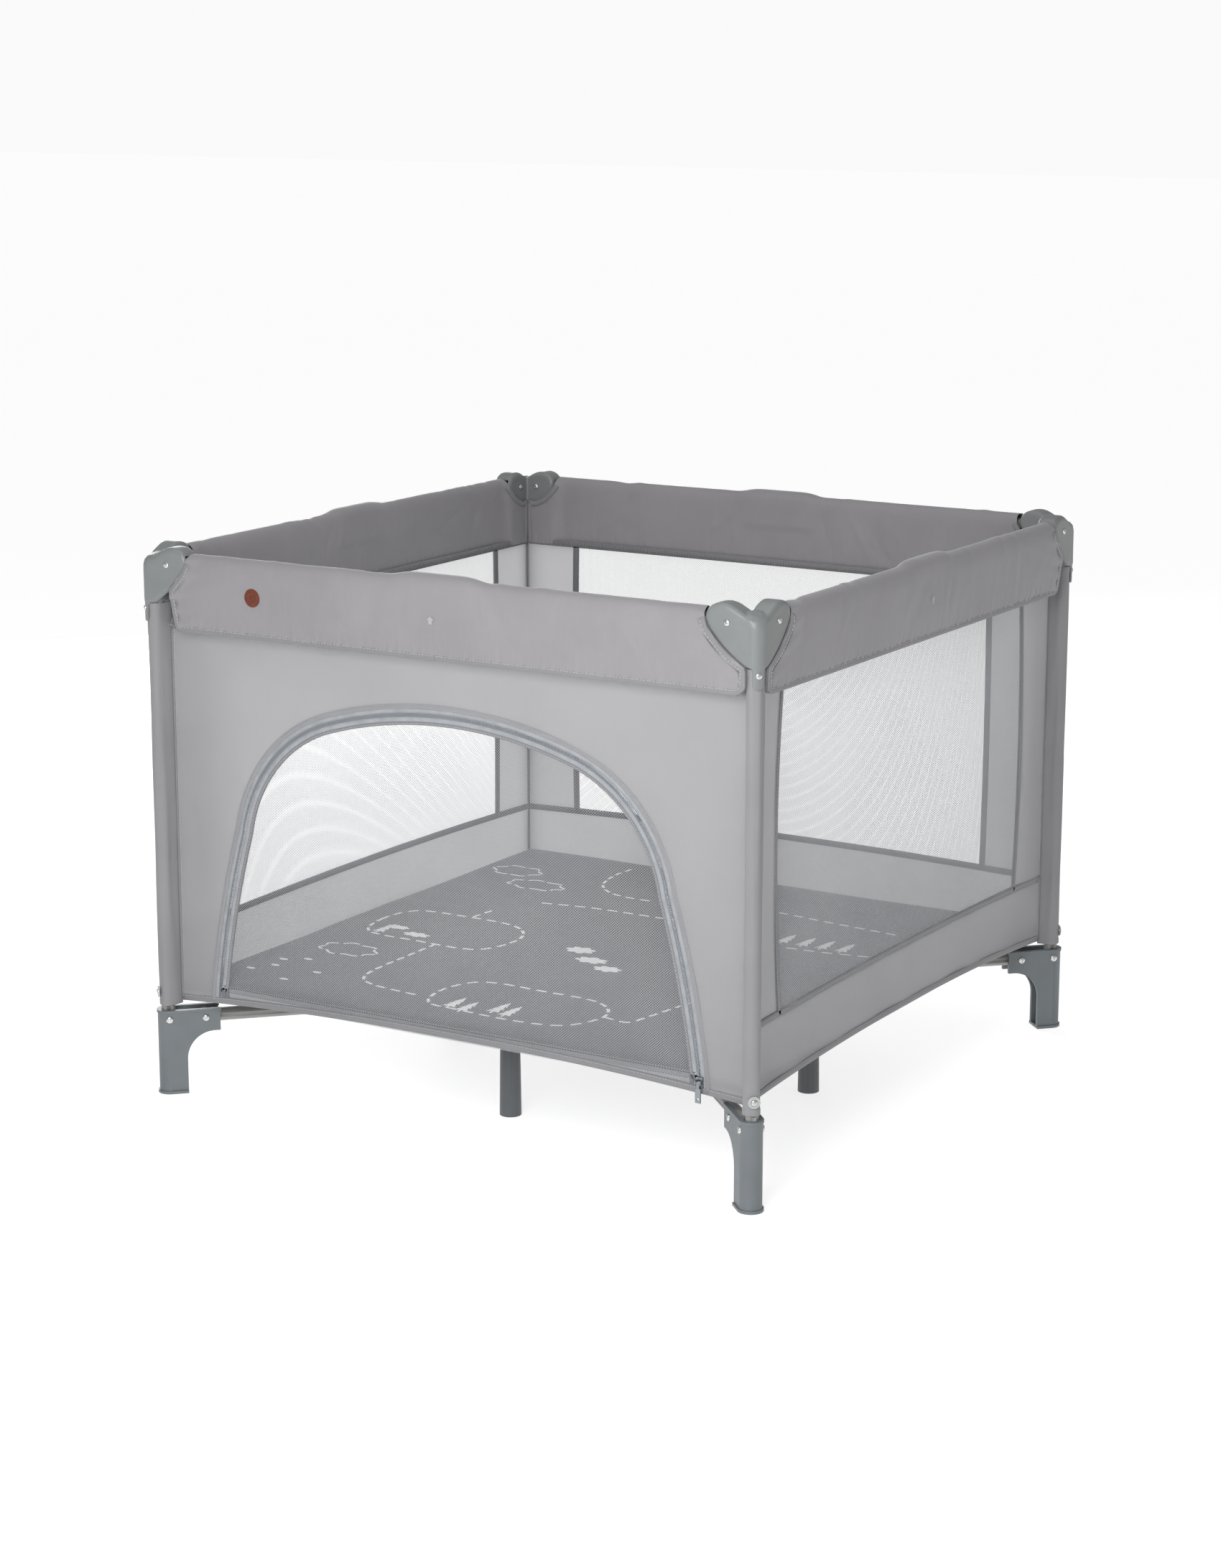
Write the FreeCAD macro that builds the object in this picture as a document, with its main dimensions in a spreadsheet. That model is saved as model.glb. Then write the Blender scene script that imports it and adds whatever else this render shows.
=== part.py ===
import FreeCAD, Part
import math
import os

import Sketcher
from FreeCAD import Placement, Rotation, Vector

# A square folding playpen: four padded posts on channel feet, a folding top rail on each side under a
# fabric cover, diagonal floor arms on a central hub, four hinged support legs, fabric walls with a zipped
# door in the front one, and a floor mat. +Z is up, the front faces -Y, and the origin is on the floor at
# the centre. Millimetres.
#
# Arms and half rails fold through the same angle: per axis an arm covers the same length as a half rail,
# because hub_pivot + foot_pivot, divided by the root of two, equals rail_pivot + the lock pin's offset.
DIMENSIONS = {
    "post_pitch": 920,           # between neighbouring post axes
    "post_radius": 9.5,
    "post_top": 740,
    "tube_wall": 1,
    "foot_height": 120,
    "foot_width": 30,            # across the channel
    "foot_wing": 70,             # reach of the channel's upper wing from the post axis
    "foot_wing_low": 88,
    "foot_leg": 23.5,            # reach of the channel's lower leg from the post axis
    "foot_arch_radius": 38.5,
    "foot_flange": 2,
    "foot_base": 4,
    "foot_lip": 1.2,
    "casting_width": 30,
    "casting_bottom": 692,
    "casting_valley": 758,
    "lobe_reach": 38,            # lobe centre from the post axis
    "lobe_radius": 26,
    "lobe_height": 746,
    "shell_wall": 3.5,
    "tongue_bottom": 665,
    "channel_room": 9.8,         # half the clear width inside a channel that holds a post or an arm
    "rail_room": 10.5,           # half the clear width for a rail inside a casting
    "rail_radius": 9,
    "rail_height": 745,
    "rail_pivot": 32,            # rail's hinge screw from the post axis
    "arm_radius": 9.5,
    "arm_height": 107,
    "foot_pivot": 50,            # arm's hinge screw from the post axis, along the diagonal
    "hub_pivot": 49,             # arm's hinge pin from the hub's axis
    "hub_radius": 62,
    "hub_bottom": 92,
    "hub_top": 142,
    "hub_roof": 117.6,
    "support_radius": 8,
    "support_reach": 300,        # support leg from the hub's axis
    "leg_foot_radius": 15,
    "leg_top_radius": 13.5,
    "leg_top": 118,
    "pin_radius": 3,
    "small_pin_radius": 2.5,
    "running_gap": 0.05,
    "head_radius": 6,
    "head_height": 2,
    "screw_hole": 3.1,
    "tongue_screw": 683,
    "sleeve_screw": 145,
    "washer_radius": 8,
    "lock_half": 52,
    "lock_width": 25,
    "lock_bottom": 722,
    "lock_top": 757,
    "lock_floor": 735,
    "lock_block": 26,            # half the solid block between the two rail ends
    "button_half": 11,
    "button_depth": 7.5,
    "button_bottom": 716,
    "button_top": 731,
    "wall_plane": 446,
    "wall_half": 440,
    "wall_bottom": 131,
    "wall_top": 652,
    "cloth": 1.5,
    "cover_width": 32,
    "cover_cloth": 1.2,
    "cover_top": 761,
    "cover_bottom": 656,
    "door_foot": 160,
    "door_foot_half": 377.5,
    "door_shoulder_half": 330,
    "door_shoulder": 385,
    "door_crown_half": 200,
    "door_crown": 545,
    "door_side_radius": 1383,
    "door_shoulder_radius": 206.4,
    "door_crown_radius": 622,
    "door_gap": 1,
    "mat_half": 438,
    "mat_bottom": 148,
    "mat_top": 164,
    "sheet_bottom": 145.5,
    "zip_x": 380,
    "zip_foot": 144,
}
CORNERS = ("back_right", "back_left", "front_left", "front_right")
SIDES = ("back", "left", "front", "right")
UP = Vector(0, 0, 1)


class Size:
    """A length together with the sheet expression that gives it."""

    def __init__(self, value, text):
        self.value = float(value)
        self.text = text

    def __add__(self, other):
        other = size(other)
        return Size(self.value + other.value, f"({self.text} + {other.text})")

    def __sub__(self, other):
        other = size(other)
        return Size(self.value - other.value, f"({self.text} - {other.text})")

    def __mul__(self, factor):
        factor = size(factor)
        return Size(self.value * factor.value, f"({self.text} * {factor.text})")

    def __truediv__(self, factor):
        factor = size(factor)
        return Size(self.value / factor.value, f"({self.text} / {factor.text})")

    def __neg__(self):
        return self * -1

    def __radd__(self, other):
        return size(other) + self


def size(amount):
    """A plain number as a Size."""
    return amount if isinstance(amount, Size) else Size(amount, repr(float(amount)))


doc = FreeCAD.newDocument("playpen")
sheet = doc.addObject("Spreadsheet::Sheet", "dims")
for row, (alias, value) in enumerate(DIMENSIONS.items(), 1):
    sheet.set(f"A{row}", alias)
    sheet.set(f"B{row}", str(value))
    sheet.setAlias(f"B{row}", alias)
doc.recompute()

d = {alias: Size(value, f"dims.{alias}") for alias, value in DIMENSIONS.items()}
ROOT2 = Size(math.sqrt(2), "sqrt(2)")
half_pitch = d["post_pitch"] / 2
lock_pin = (d["hub_pivot"] + d["foot_pivot"]) / ROOT2 - d["rail_pivot"]
rail_length = half_pitch - d["rail_pivot"] - lock_pin
arm_length = half_pitch * ROOT2 - d["hub_pivot"] - d["foot_pivot"]
sub_parts = []


# Helpers: each makes one object of the document with its sizes bound to the sheet.


def place(obj, x=0, y=0, z=0, rotation=None):
    """Put an object at a point that follows the sheet."""
    at = [size(amount) for amount in (x, y, z)]
    obj.Placement = Placement(Vector(*[amount.value for amount in at]), rotation or Rotation())
    for letter, amount in zip("xyz", at):
        obj.setExpression("Placement.Base." + letter, amount.text)
    return obj


def box(x, y, z):
    """A box between a low and a high value along each axis."""
    obj = doc.addObject("Part::Box", "Box")
    for prop, (low, high) in zip(("Length", "Width", "Height"), (x, y, z)):
        obj.setExpression(prop, (size(high) - low).text)
    return place(obj, x[0], y[0], z[0])


def rod(radius, along, low, high, at=(0, 0)):
    """A cylinder along an axis, from low to high; at gives its place on the other two axes, in order."""
    obj = doc.addObject("Part::Cylinder", "Rod")
    obj.setExpression("Radius", size(radius).text)
    obj.setExpression("Height", (size(high) - low).text)
    if along == "x":
        return place(obj, low, at[0], at[1], Rotation(Vector(0, 1, 0), 90))
    if along == "y":
        return place(obj, at[0], low, at[1], Rotation(Vector(1, 0, 0), -90))
    return place(obj, at[0], at[1], low)


def fuse(*shapes):
    obj = doc.addObject("Part::MultiFuse", "Fuse")
    obj.Shapes = list(shapes)
    return obj


def group(*shapes):
    obj = doc.addObject("Part::Compound", "Group")
    obj.Links = list(shapes)
    return obj


def cut(base, *tools):
    obj = doc.addObject("Part::Cut", "Cut")
    obj.Base = base
    obj.Tool = tools[0] if len(tools) == 1 else fuse(*tools)
    return obj


def common(*shapes):
    obj = doc.addObject("Part::MultiCommon", "Common")
    obj.Shapes = list(shapes)
    return obj


def turn(obj, degrees):
    """Hold an object turned about the frame's Z axis."""
    holder = group(obj)
    holder.Placement = Placement(Vector(), Rotation(UP, degrees))
    return holder


def plate(corners, thickness, arcs=None):
    """An upright plate centred on the XZ plane, with a closed outline of (x, z) corners in
    anticlockwise order. arcs gives the radius of each edge, by number, that bulges outwards."""
    arcs = arcs or {}
    body = doc.addObject("PartDesign::Body", "Plate")
    sketch = body.newObject("Sketcher::SketchObject", "Outline")
    plane = next(p for p in body.Origin.OriginFeatures if p.Role == "XZ_Plane")
    sketch.AttachmentSupport = [(plane, "")]
    sketch.MapMode = "FlatFace"
    points = [Vector(size(x).value, size(z).value, 0) for x, z in corners]
    for number, start in enumerate(points):
        end = points[(number + 1) % len(points)]
        if number in arcs:
            sketch.addGeometry(outward_arc(start, end, size(arcs[number]).value))
        else:
            sketch.addGeometry(Part.LineSegment(start, end))
    for number in range(len(points)):
        follower = (number + 1) % len(points)
        sketch.addConstraint(Sketcher.Constraint("Coincident", number, 2, follower, 1))
    for number, corner in enumerate(corners):
        for kind, amount in zip(("DistanceX", "DistanceY"), corner):
            bind_constraint(sketch, Sketcher.Constraint(kind, -1, 1, number, 1, size(amount).value), amount)
    for number, radius in arcs.items():
        bind_constraint(sketch, Sketcher.Constraint("Radius", number, size(radius).value), radius)
    pad = body.newObject("PartDesign::Pad", "Pad")
    pad.Profile = sketch
    pad.SideType = "Symmetric"
    pad.setExpression("Length", size(thickness).text)
    return body


def bind_constraint(sketch, constraint, amount):
    """Add one dimension to a sketch and tie it to the sheet."""
    number = sketch.addConstraint(constraint)
    sketch.setExpression(f"Constraints[{number}]", size(amount).text)


def outward_arc(start, end, radius):
    """The short anticlockwise arc from start to end."""
    chord = end - start
    inward = Vector(-chord.y, chord.x, 0).normalize()
    middle = (start + end) * 0.5
    rise = radius - math.sqrt(radius**2 - (chord.Length / 2) ** 2)
    return Part.Arc(start, middle - inward * rise, end)


def turned(x, y, quarter):
    """The plan point (x, y) after a number of quarter turns about the frame's Z axis."""
    x, y = size(x), size(y)
    return ((x, y), (-y, x), (-x, -y), (y, -x))[quarter % 4]


def finish(obj, node, at=(0, 0), height=0, degrees=0):
    """Name a finished sub-part and give it its place."""
    obj.Label = node
    place(obj, at[0], at[1], height, Rotation(UP, degrees))
    sub_parts.append(obj)


def slab(half_x, half_y, low, high):
    """A flat block centred on the Z axis."""
    return group(box((-half_x, half_x), (-half_y, half_y), (low, high)))


def screw(shank_radius, half_length):
    """A cross screw along Y with a round head at each end."""
    head = half_length + d["head_height"]
    return fuse(
        rod(shank_radius, "y", -half_length, half_length),
        rod(d["head_radius"], "y", half_length, head),
        rod(d["head_radius"], "y", -head, -half_length),
    )


def link(length, radius, pin_radius):
    """A tube between two pivots at x = 0 and x = length, with a round solid eye around each pivot."""
    eye = radius - 0.5
    plug = radius * 2
    bore = pin_radius + d["running_gap"]
    outside = fuse(
        rod(radius, "x", 0, length),
        rod(radius, "y", -eye, eye),
        rod(radius, "y", -eye, eye, (length, 0)),
    )
    return cut(
        outside,
        rod(radius - d["tube_wall"], "x", plug, length - plug),
        rod(bore, "y", -radius, radius),
        rod(bore, "y", -radius, radius, (length, 0)),
    )


# Corner parts. The diagonal frame has its origin on the post axis with +X towards the playpen's centre.


def post():
    reach = d["post_radius"] + 1
    return cut(
        rod(d["post_radius"], "z", d["foot_base"] + 0.5, d["post_top"]),
        rod(d["post_radius"] - d["tube_wall"], "z", 0, d["post_top"] + 1),
        rod(d["screw_hole"], "y", -reach, reach, (0, d["arm_height"])),
        rod(d["screw_hole"], "x", -reach, 0, (0, d["tongue_screw"])),
        rod(d["screw_hole"], "x", -reach, 0, (0, d["sleeve_screw"])),
    )


def channel(half, reach, low, high):
    """A round-backed block around the post axis, open-ended towards +X."""
    return fuse(rod(half, "z", low, high), box((0, reach), (-size(half), half), (low, high)))


def foot():
    half = d["foot_width"] / 2
    wing, leg, low = d["foot_wing"], d["foot_leg"], d["foot_wing_low"]
    arch_x = leg + d["foot_arch_radius"]
    arch_z = low - d["foot_arch_radius"]
    flange = half + d["foot_flange"]
    lip = half + d["foot_lip"]
    outside = fuse(
        channel(half, wing, 0, d["foot_height"]),
        channel(lip, wing + d["foot_lip"], d["foot_height"] - 4, d["foot_height"]),
        channel(flange, leg, 0, d["foot_base"]),
    )
    return cut(
        outside,
        channel(d["channel_room"], wing + 10, d["foot_base"], d["foot_height"] + 1),
        box((leg, wing + 10), (-flange - 1, flange + 1), (-1, arch_z)),
        rod(d["foot_arch_radius"], "y", -flange, flange, (arch_x, arch_z)),
        box((arch_x, wing + 10), (-flange, flange), (arch_z - 1, low)),
        rod(d["screw_hole"], "y", -flange, flange, (0, d["arm_height"])),
        rod(d["screw_hole"], "y", -flange, flange, (d["foot_pivot"], d["arm_height"])),
    )


def corner_fasteners():
    """Foot screw, arm pivot screw, two rail pivot screws, and the small screws in the post's outer side."""
    foot_screws = [place(screw(d["pin_radius"], d["foot_width"] / 2 + 0.1), x, 0, d["arm_height"])
                   for x in (0, d["foot_pivot"])]
    offset = d["rail_pivot"] / ROOT2
    rail_screws = [place(screw(d["pin_radius"], d["casting_width"] / 2 + 0.1), offset, offset * side,
                         d["rail_height"], Rotation(UP, 45 * side)) for side in (1, -1)]
    shank_end = -d["post_radius"] + 3
    tongue = fuse(
        rod(d["small_pin_radius"], "x", -14, shank_end, (0, d["tongue_screw"])),
        rod(4, "x", -15.5, -13.8, (0, d["tongue_screw"])),
    )
    washer = fuse(
        rod(d["small_pin_radius"], "x", -13, shank_end, (0, d["sleeve_screw"])),
        rod(d["washer_radius"], "x", -12.8, -11.2, (0, d["sleeve_screw"])),
        rod(4, "x", -14.3, -12.8, (0, d["sleeve_screw"])),
    )
    return group(*foot_screws, *rail_screws, tongue, washer)


def casting():
    """Two hollow lobes over the rail ends, at right angles, on a round socket over the post. Its frame has
    +X and +Y along the two rails. The lobes are open below, where the rails fold down."""
    half = d["casting_width"] / 2
    bottom, reach, radius, height = (d["casting_bottom"], d["lobe_reach"], d["lobe_radius"],
                                     d["lobe_height"])
    corners = (
        (-8, bottom),
        (10, bottom),
        (reach + radius / ROOT2, height - radius / ROOT2),
        (reach + radius * 0.6, height + radius * 0.8),
        (reach, height + radius),
        (-8, d["casting_valley"]),
    )
    lobes = []
    rooms = []
    for degrees in (0, 90):
        lobes.append(turn(plate(corners, d["casting_width"]), degrees))
        lobes.append(turn(rod(radius, "y", -half, half, (reach, height)), degrees))
        room = d["rail_room"]
        rooms.append(turn(box((17.5, 90), (-room, room), (bottom - 10, height + 11)), degrees))
        rooms.append(turn(rod(radius - d["shell_wall"], "y", -room, room, (reach, height)), degrees))
        rooms.append(turn(rod(d["screw_hole"], "y", -half - 1, half + 1,
                              (d["rail_pivot"], d["rail_height"])), degrees))
    ring = cut(
        rod(d["channel_room"] + 3.8, "z", d["tongue_bottom"], bottom + 1),
        rod(d["channel_room"], "z", d["tongue_bottom"] - 1, bottom + 2),
    )
    tongue = common(ring, turn(box((0, 16), (-8, 8), (d["tongue_bottom"], bottom + 1)), 225))
    outside = fuse(*lobes, rod(half, "z", bottom, d["casting_valley"]), tongue)
    socket = rod(d["channel_room"], "z", bottom - 1, d["post_top"] + 2)
    tongue_hole = turn(rod(d["small_pin_radius"] + 0.1, "x", 0, 20, (0, d["tongue_screw"])), 225)
    return cut(outside, *rooms, socket, tongue_hole)


# Parts along each side. The side frame has +X along the rail and +Y outwards.


def lock():
    """A level block that joins two half rails on cross pins. The rails fold up out of its open top."""
    half, long = d["lock_width"] / 2, d["lock_half"]
    room = d["rail_radius"] + 0.6
    block = box((-long, long), (-half, half), (d["lock_bottom"], d["lock_top"]))
    rooms = [box(span, (-room, room), (d["lock_floor"], d["lock_top"] + 1))
             for span in ((d["lock_block"], long + 1), (-long - 1, -d["lock_block"]))]
    slot = d["button_half"] + 0.4
    slot_depth = d["button_depth"] + 0.4
    rooms.append(box((-slot, slot), (-slot_depth, slot_depth), (d["lock_bottom"] - 1, d["lock_floor"])))
    rooms.append(box((-slot - 3, slot + 3), (-slot_depth - 1.5, slot_depth + 1.5),
                     (d["button_top"] - 3, d["button_top"] + 7)))
    pins = [rod(d["pin_radius"], "y", -half, half, (lock_pin * side, d["rail_height"])) for side in (1, -1)]
    return fuse(cut(block, *rooms), *pins)


def lock_button():
    half, depth = d["button_half"], d["button_depth"]
    low, high = d["button_bottom"], d["button_top"]
    return fuse(
        box((-half, half), (-depth, depth), (low, high)),
        box((-half - 2.5, half + 2.5), (-depth - 1.2, depth + 1.2), (high - 2.5, high)),
    )


def rail_cover():
    """A fabric channel over the rail, with its ends cut back along the castings."""
    upper = half_pitch - 68
    lower = half_pitch - 17
    bottom, top = d["cover_bottom"], d["cover_top"]
    corners = (
        (-lower + 8, bottom),
        (lower - 8, bottom),
        (lower, bottom + 8),
        (lower, bottom + 29),
        (upper, top - 26),
        (upper, top),
        (-upper, top),
        (-upper, top - 26),
        (-lower, bottom + 29),
        (-lower, bottom + 8),
    )
    inside = d["cover_width"] / 2 - d["cover_cloth"]
    return cut(
        plate(corners, d["cover_width"]),
        box((-lower - 1, lower + 1), (-inside, inside), (bottom - 1, top - d["cover_cloth"])),
    )


def wall():
    half, low, high = d["wall_half"], d["wall_bottom"], d["wall_top"]
    return plate(((-half, low), (half, low), (half, high), (-half, high)), d["cloth"])


def door_shape(grow, thickness):
    """The arched door's outline, grown or shrunk by an even amount."""
    foot_half = d["door_foot_half"] + grow
    shoulder = (d["door_shoulder_half"] + grow, d["door_shoulder"] + grow)
    crown = (d["door_crown_half"] + grow, d["door_crown"] + grow)
    low = d["door_foot"] - grow
    corners = ((-foot_half, low), (foot_half, low), shoulder, crown,
               (-crown[0], crown[1]), (-shoulder[0], shoulder[1]))
    side, bend = d["door_side_radius"], d["door_shoulder_radius"]
    return plate(corners, thickness, {1: side, 2: bend, 3: d["door_crown_radius"], 4: bend, 5: side})


# Floor parts, in the playpen's own frame.


def hub_slots(first, half_room):
    """Four radial slots for arm ends, open below and outwards."""
    inner = d["hub_pivot"] - d["arm_radius"] - 1
    return [turn(box((inner, d["hub_radius"] + 5), (-half_room, half_room),
                     (d["hub_bottom"] - 1, d["hub_roof"])), first + 90 * quarter) for quarter in range(4)]


def hub_cross_rods(half_length, extra):
    """Eight rods across the hub's slots, thick ones for the corner arms and thin ones for the supports."""
    radii = (d["small_pin_radius"], d["pin_radius"])
    return [turn(rod(radii[eighth % 2] + extra, "y", -half_length, half_length,
                     (d["hub_pivot"], d["arm_height"])), 45 * eighth) for eighth in range(8)]


def hub():
    drum = fuse(
        rod(d["hub_radius"], "z", d["hub_bottom"], d["hub_roof"] + 5),
        rod(d["hub_radius"] * 0.6, "z", d["hub_roof"], d["hub_top"]),
    )
    return cut(drum, *hub_slots(45, d["channel_room"] + 0.4), *hub_slots(0, d["support_radius"] + 0.4),
               *hub_cross_rods(16.3, 0.1))


def hub_pins():
    return group(*hub_cross_rods(16, 0))


def pull_strap():
    return slab(size(30), size(12.5), d["hub_top"] + 0.4, d["hub_top"] + 2.8)


def support_leg():
    """A tapered leg with a slot at its top for the support arm, which folds up out of it. +X is inwards."""
    cone = doc.addObject("Part::Cone", "Leg")
    for prop, amount in (("Radius1", d["leg_foot_radius"]), ("Radius2", d["leg_top_radius"]),
                         ("Height", d["leg_top"])):
        cone.setExpression(prop, amount.text)
    room, reach = d["support_radius"] + 0.4, d["support_radius"] + 0.7
    slot = box((-reach, 30), (-room, room), (d["arm_height"] - reach, d["leg_top"] + 1))
    pin = rod(d["small_pin_radius"], "y", -12, 12, (0, d["arm_height"]))
    return fuse(cut(cone, slot), pin)


def zip_slider():
    """A slider body with two cheeks that hold the pull's pin. Its frame's origin is at its lower end, on
    the wall's plane; -Y is outwards."""
    face = -d["cloth"] / 2 - 0.6
    return fuse(
        box((-4.5, 4.5), (face - 3, face), (0, 14)),
        box((-4.5, -2.6), (face - 8, face - 3), (5, 10.5)),
        box((2.6, 4.5), (face - 8, face - 3), (5, 10.5)),
        rod(1.2, "x", -4, 4, (face - 6, 7.8)),
    )


def zip_pull():
    pin_y = -d["cloth"] / 2 - 6.6
    return cut(
        fuse(
            rod(2.3, "x", -2.3, 2.3, (pin_y, 7.8)),
            box((-1.8, 1.8), (pin_y - 0.8, pin_y + 0.8), (-2, 6)),
            box((-4, 4), (pin_y - 0.8, pin_y + 0.8), (-19, 0)),
        ),
        rod(1.2 + d["running_gap"], "x", -5, 5, (pin_y, 7.8)),
        rod(1.8, "y", pin_y - 2, pin_y + 2, (0, -14)),
    )


# Assembly.

for quarter, corner in enumerate(CORNERS):
    at = turned(half_pitch, half_pitch, quarter)
    inward = 225 + 90 * quarter
    finish(post(), corner + "_post", at, degrees=inward)
    finish(foot(), corner + "_foot", at, degrees=inward)
    finish(corner_fasteners(), corner + "_fasteners", at, degrees=inward)
    finish(casting(), corner + "_casting", at, degrees=inward - 45)
    arm_start = half_pitch - d["foot_pivot"] / ROOT2
    finish(link(arm_length, d["arm_radius"], d["pin_radius"]), corner + "_arm",
           turned(arm_start, arm_start, quarter), d["arm_height"], inward)

for quarter, side in enumerate(SIDES):
    middle = turned(0, half_pitch, quarter)
    degrees = 90 * quarter
    ends = {1: CORNERS[quarter], -1: CORNERS[(quarter + 1) % 4]}
    for direction, corner in ends.items():
        end_word = corner.replace(side, "").strip("_")
        pivot = turned((half_pitch - d["rail_pivot"]) * direction, half_pitch, quarter)
        inward = degrees + (180 if direction > 0 else 0)
        finish(link(rail_length, d["rail_radius"], d["pin_radius"]), f"{side}_rail_{end_word}", pivot,
               d["rail_height"], inward)
    finish(lock(), side + "_lock", middle, degrees=degrees)
    finish(lock_button(), side + "_lock_button", middle, degrees=degrees)
    finish(rail_cover(), side + "_rail_cover", middle, degrees=degrees)
    panel = wall()
    if side == "front":
        panel = cut(panel, door_shape(d["door_gap"] / 2, d["cloth"] + 4))
    finish(panel, side + "_wall", turned(0, d["wall_plane"], quarter), degrees=degrees)
    finish(link(d["support_reach"] - d["hub_pivot"], d["support_radius"], d["small_pin_radius"]),
           side + "_support_arm", turned(0, d["support_reach"], quarter), d["arm_height"], degrees - 90)
    finish(support_leg(), side + "_support_leg", turned(0, d["support_reach"], quarter),
           degrees=degrees - 90)

half_mat = d["mat_half"]
finish(hub(), "hub")
finish(hub_pins(), "hub_pins")
finish(pull_strap(), "pull_strap")
finish(slab(half_mat, half_mat, d["sheet_bottom"], d["mat_bottom"] - 0.4), "floor_sheet")
finish(slab(half_mat, half_mat, d["mat_bottom"], d["mat_top"]), "floor_mat")
finish(door_shape(-d["door_gap"] / 2, d["cloth"]), "door_flap", (0, -d["wall_plane"]))
finish(zip_slider(), "zip_slider", (d["zip_x"], -d["wall_plane"]), d["zip_foot"])
finish(zip_pull(), "zip_pull", (d["zip_x"], -d["wall_plane"]), d["zip_foot"])

doc.recompute()
for obj in doc.Objects:
    if {"Invalid", "Error"} & set(obj.State):
        raise RuntimeError(f"{obj.Label} did not recompute: {obj.State}")
for part in sub_parts:
    if part.Shape.isNull() or not part.Shape.isValid():
        raise RuntimeError(f"{part.Label} has no valid shape")

os.makedirs("parts", exist_ok=True)
for part in sub_parts:
    part.Shape.exportStep(f"parts/{part.Label}.step")
print(len(sub_parts), "sub-parts")
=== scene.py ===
import math

import bpy
import numpy as np
from mathutils import Matrix, Vector


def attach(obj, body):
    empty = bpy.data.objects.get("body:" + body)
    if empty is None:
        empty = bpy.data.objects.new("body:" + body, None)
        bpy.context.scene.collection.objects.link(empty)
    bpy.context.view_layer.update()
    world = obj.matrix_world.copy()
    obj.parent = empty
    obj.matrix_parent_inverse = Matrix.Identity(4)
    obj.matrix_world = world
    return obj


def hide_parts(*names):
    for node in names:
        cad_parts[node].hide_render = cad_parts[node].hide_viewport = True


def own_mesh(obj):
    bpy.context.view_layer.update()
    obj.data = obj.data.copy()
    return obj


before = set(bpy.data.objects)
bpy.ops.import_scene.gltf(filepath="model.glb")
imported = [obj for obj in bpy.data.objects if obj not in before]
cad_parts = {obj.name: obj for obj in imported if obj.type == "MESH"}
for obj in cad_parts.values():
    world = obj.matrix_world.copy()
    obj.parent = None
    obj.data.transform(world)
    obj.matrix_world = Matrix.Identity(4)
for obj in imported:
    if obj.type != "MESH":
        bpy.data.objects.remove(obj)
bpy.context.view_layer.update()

# Lengths are in millimetres up to mesh_object(), which turns them into metres. Each side is built in the
# front side's frame: u along the wall (+X), w outwards from the centre (-Y), z up. Quarter turns about Z
# then bring it to the right, back and left sides.
MM = 0.001
SIDES = ("front", "right", "back", "left")
OWN_CORNER = ("front_left", "front_right", "back_right", "back_left")
RAIL_ENDS = (("left", "right"), ("front", "back"), ("right", "left"), ("back", "front"))

POST = 460                   # post axes from the centre, both ways
WALL = 446                   # wall cloth from the centre
WALL_TOP = 664
SEAM = 444                   # corner seam along u
HEM_END = 131                # lower edge of the walls at the corners
STRIP_LOW = 231              # lower end of a window's corner strips, behind the band along the floor
COVER_LOW = 656              # lower edge of the rail covers
RAIL_PIVOT = (32, 745)       # a half rail's pivot: from the post axis along the rail, and height
ARM_PIVOT = 107              # height of the floor arms' screws
MAT_LOW, MAT_TOP, MAT_HALF = 148.2, 164, 437.5
ZIP_LOW = 137                # lower end of the zip's tape
DOOR_HINGE = 160             # height of the door's fold
NET_PITCH = 2.56             # across the yarns
NET_SLOPE = math.radians(41)
STITCH = 3                   # length of a stitch


# ---------------------------------------------------------------- camera and light


def camera(azimuth, elevation, distance, target, lens):
    data = bpy.data.cameras.new("camera")
    data.lens, data.sensor_width = lens, 36
    eye = bpy.data.objects.new("camera", data)
    bpy.context.scene.collection.objects.link(eye)
    a, e = math.radians(azimuth), math.radians(elevation)
    way = Vector((math.sin(a) * math.cos(e), -math.cos(a) * math.cos(e), math.sin(e)))
    eye.location = Vector(target) + way * distance
    eye.rotation_euler = way.to_track_quat("Z", "Y").to_euler()
    bpy.context.scene.camera = eye


def area_light(name, location, aim, size, power):
    data = bpy.data.lights.new(name, "AREA")
    data.size = size
    data.energy = power
    lamp = bpy.data.objects.new(name, data)
    bpy.context.scene.collection.objects.link(lamp)
    lamp.location = location
    lamp.visible_camera = False
    lamp.rotation_euler = (Vector(location) - Vector(aim)).to_track_quat("Z", "Y").to_euler()


camera(31.14, 12.86, 4.585, (-0.0163, -0.0098, 0.4031), 74.46)
bpy.context.scene.view_settings.view_transform = "Standard"


def studio_world(seen, cast):
    """An even white surround: its brightness to the eye, and as a light."""
    world = bpy.data.worlds.new("studio")
    bpy.context.scene.world = world
    world.use_nodes = True
    tree = world.node_tree
    light = tree.nodes["Background"]
    light.inputs["Color"].default_value = (1, 1, 1, 1)
    light.inputs["Strength"].default_value = cast
    backdrop = tree.nodes.new("ShaderNodeBackground")
    backdrop.inputs["Color"].default_value = (1, 1, 1, 1)
    backdrop.inputs["Strength"].default_value = seen
    mix = tree.nodes.new("ShaderNodeMixShader")
    tree.links.new(tree.nodes.new("ShaderNodeLightPath").outputs["Is Camera Ray"], mix.inputs["Fac"])
    tree.links.new(light.outputs["Background"], mix.inputs[1])
    tree.links.new(backdrop.outputs["Background"], mix.inputs[2])
    tree.links.new(mix.outputs["Shader"], tree.nodes["World Output"].inputs["Surface"])


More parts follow.
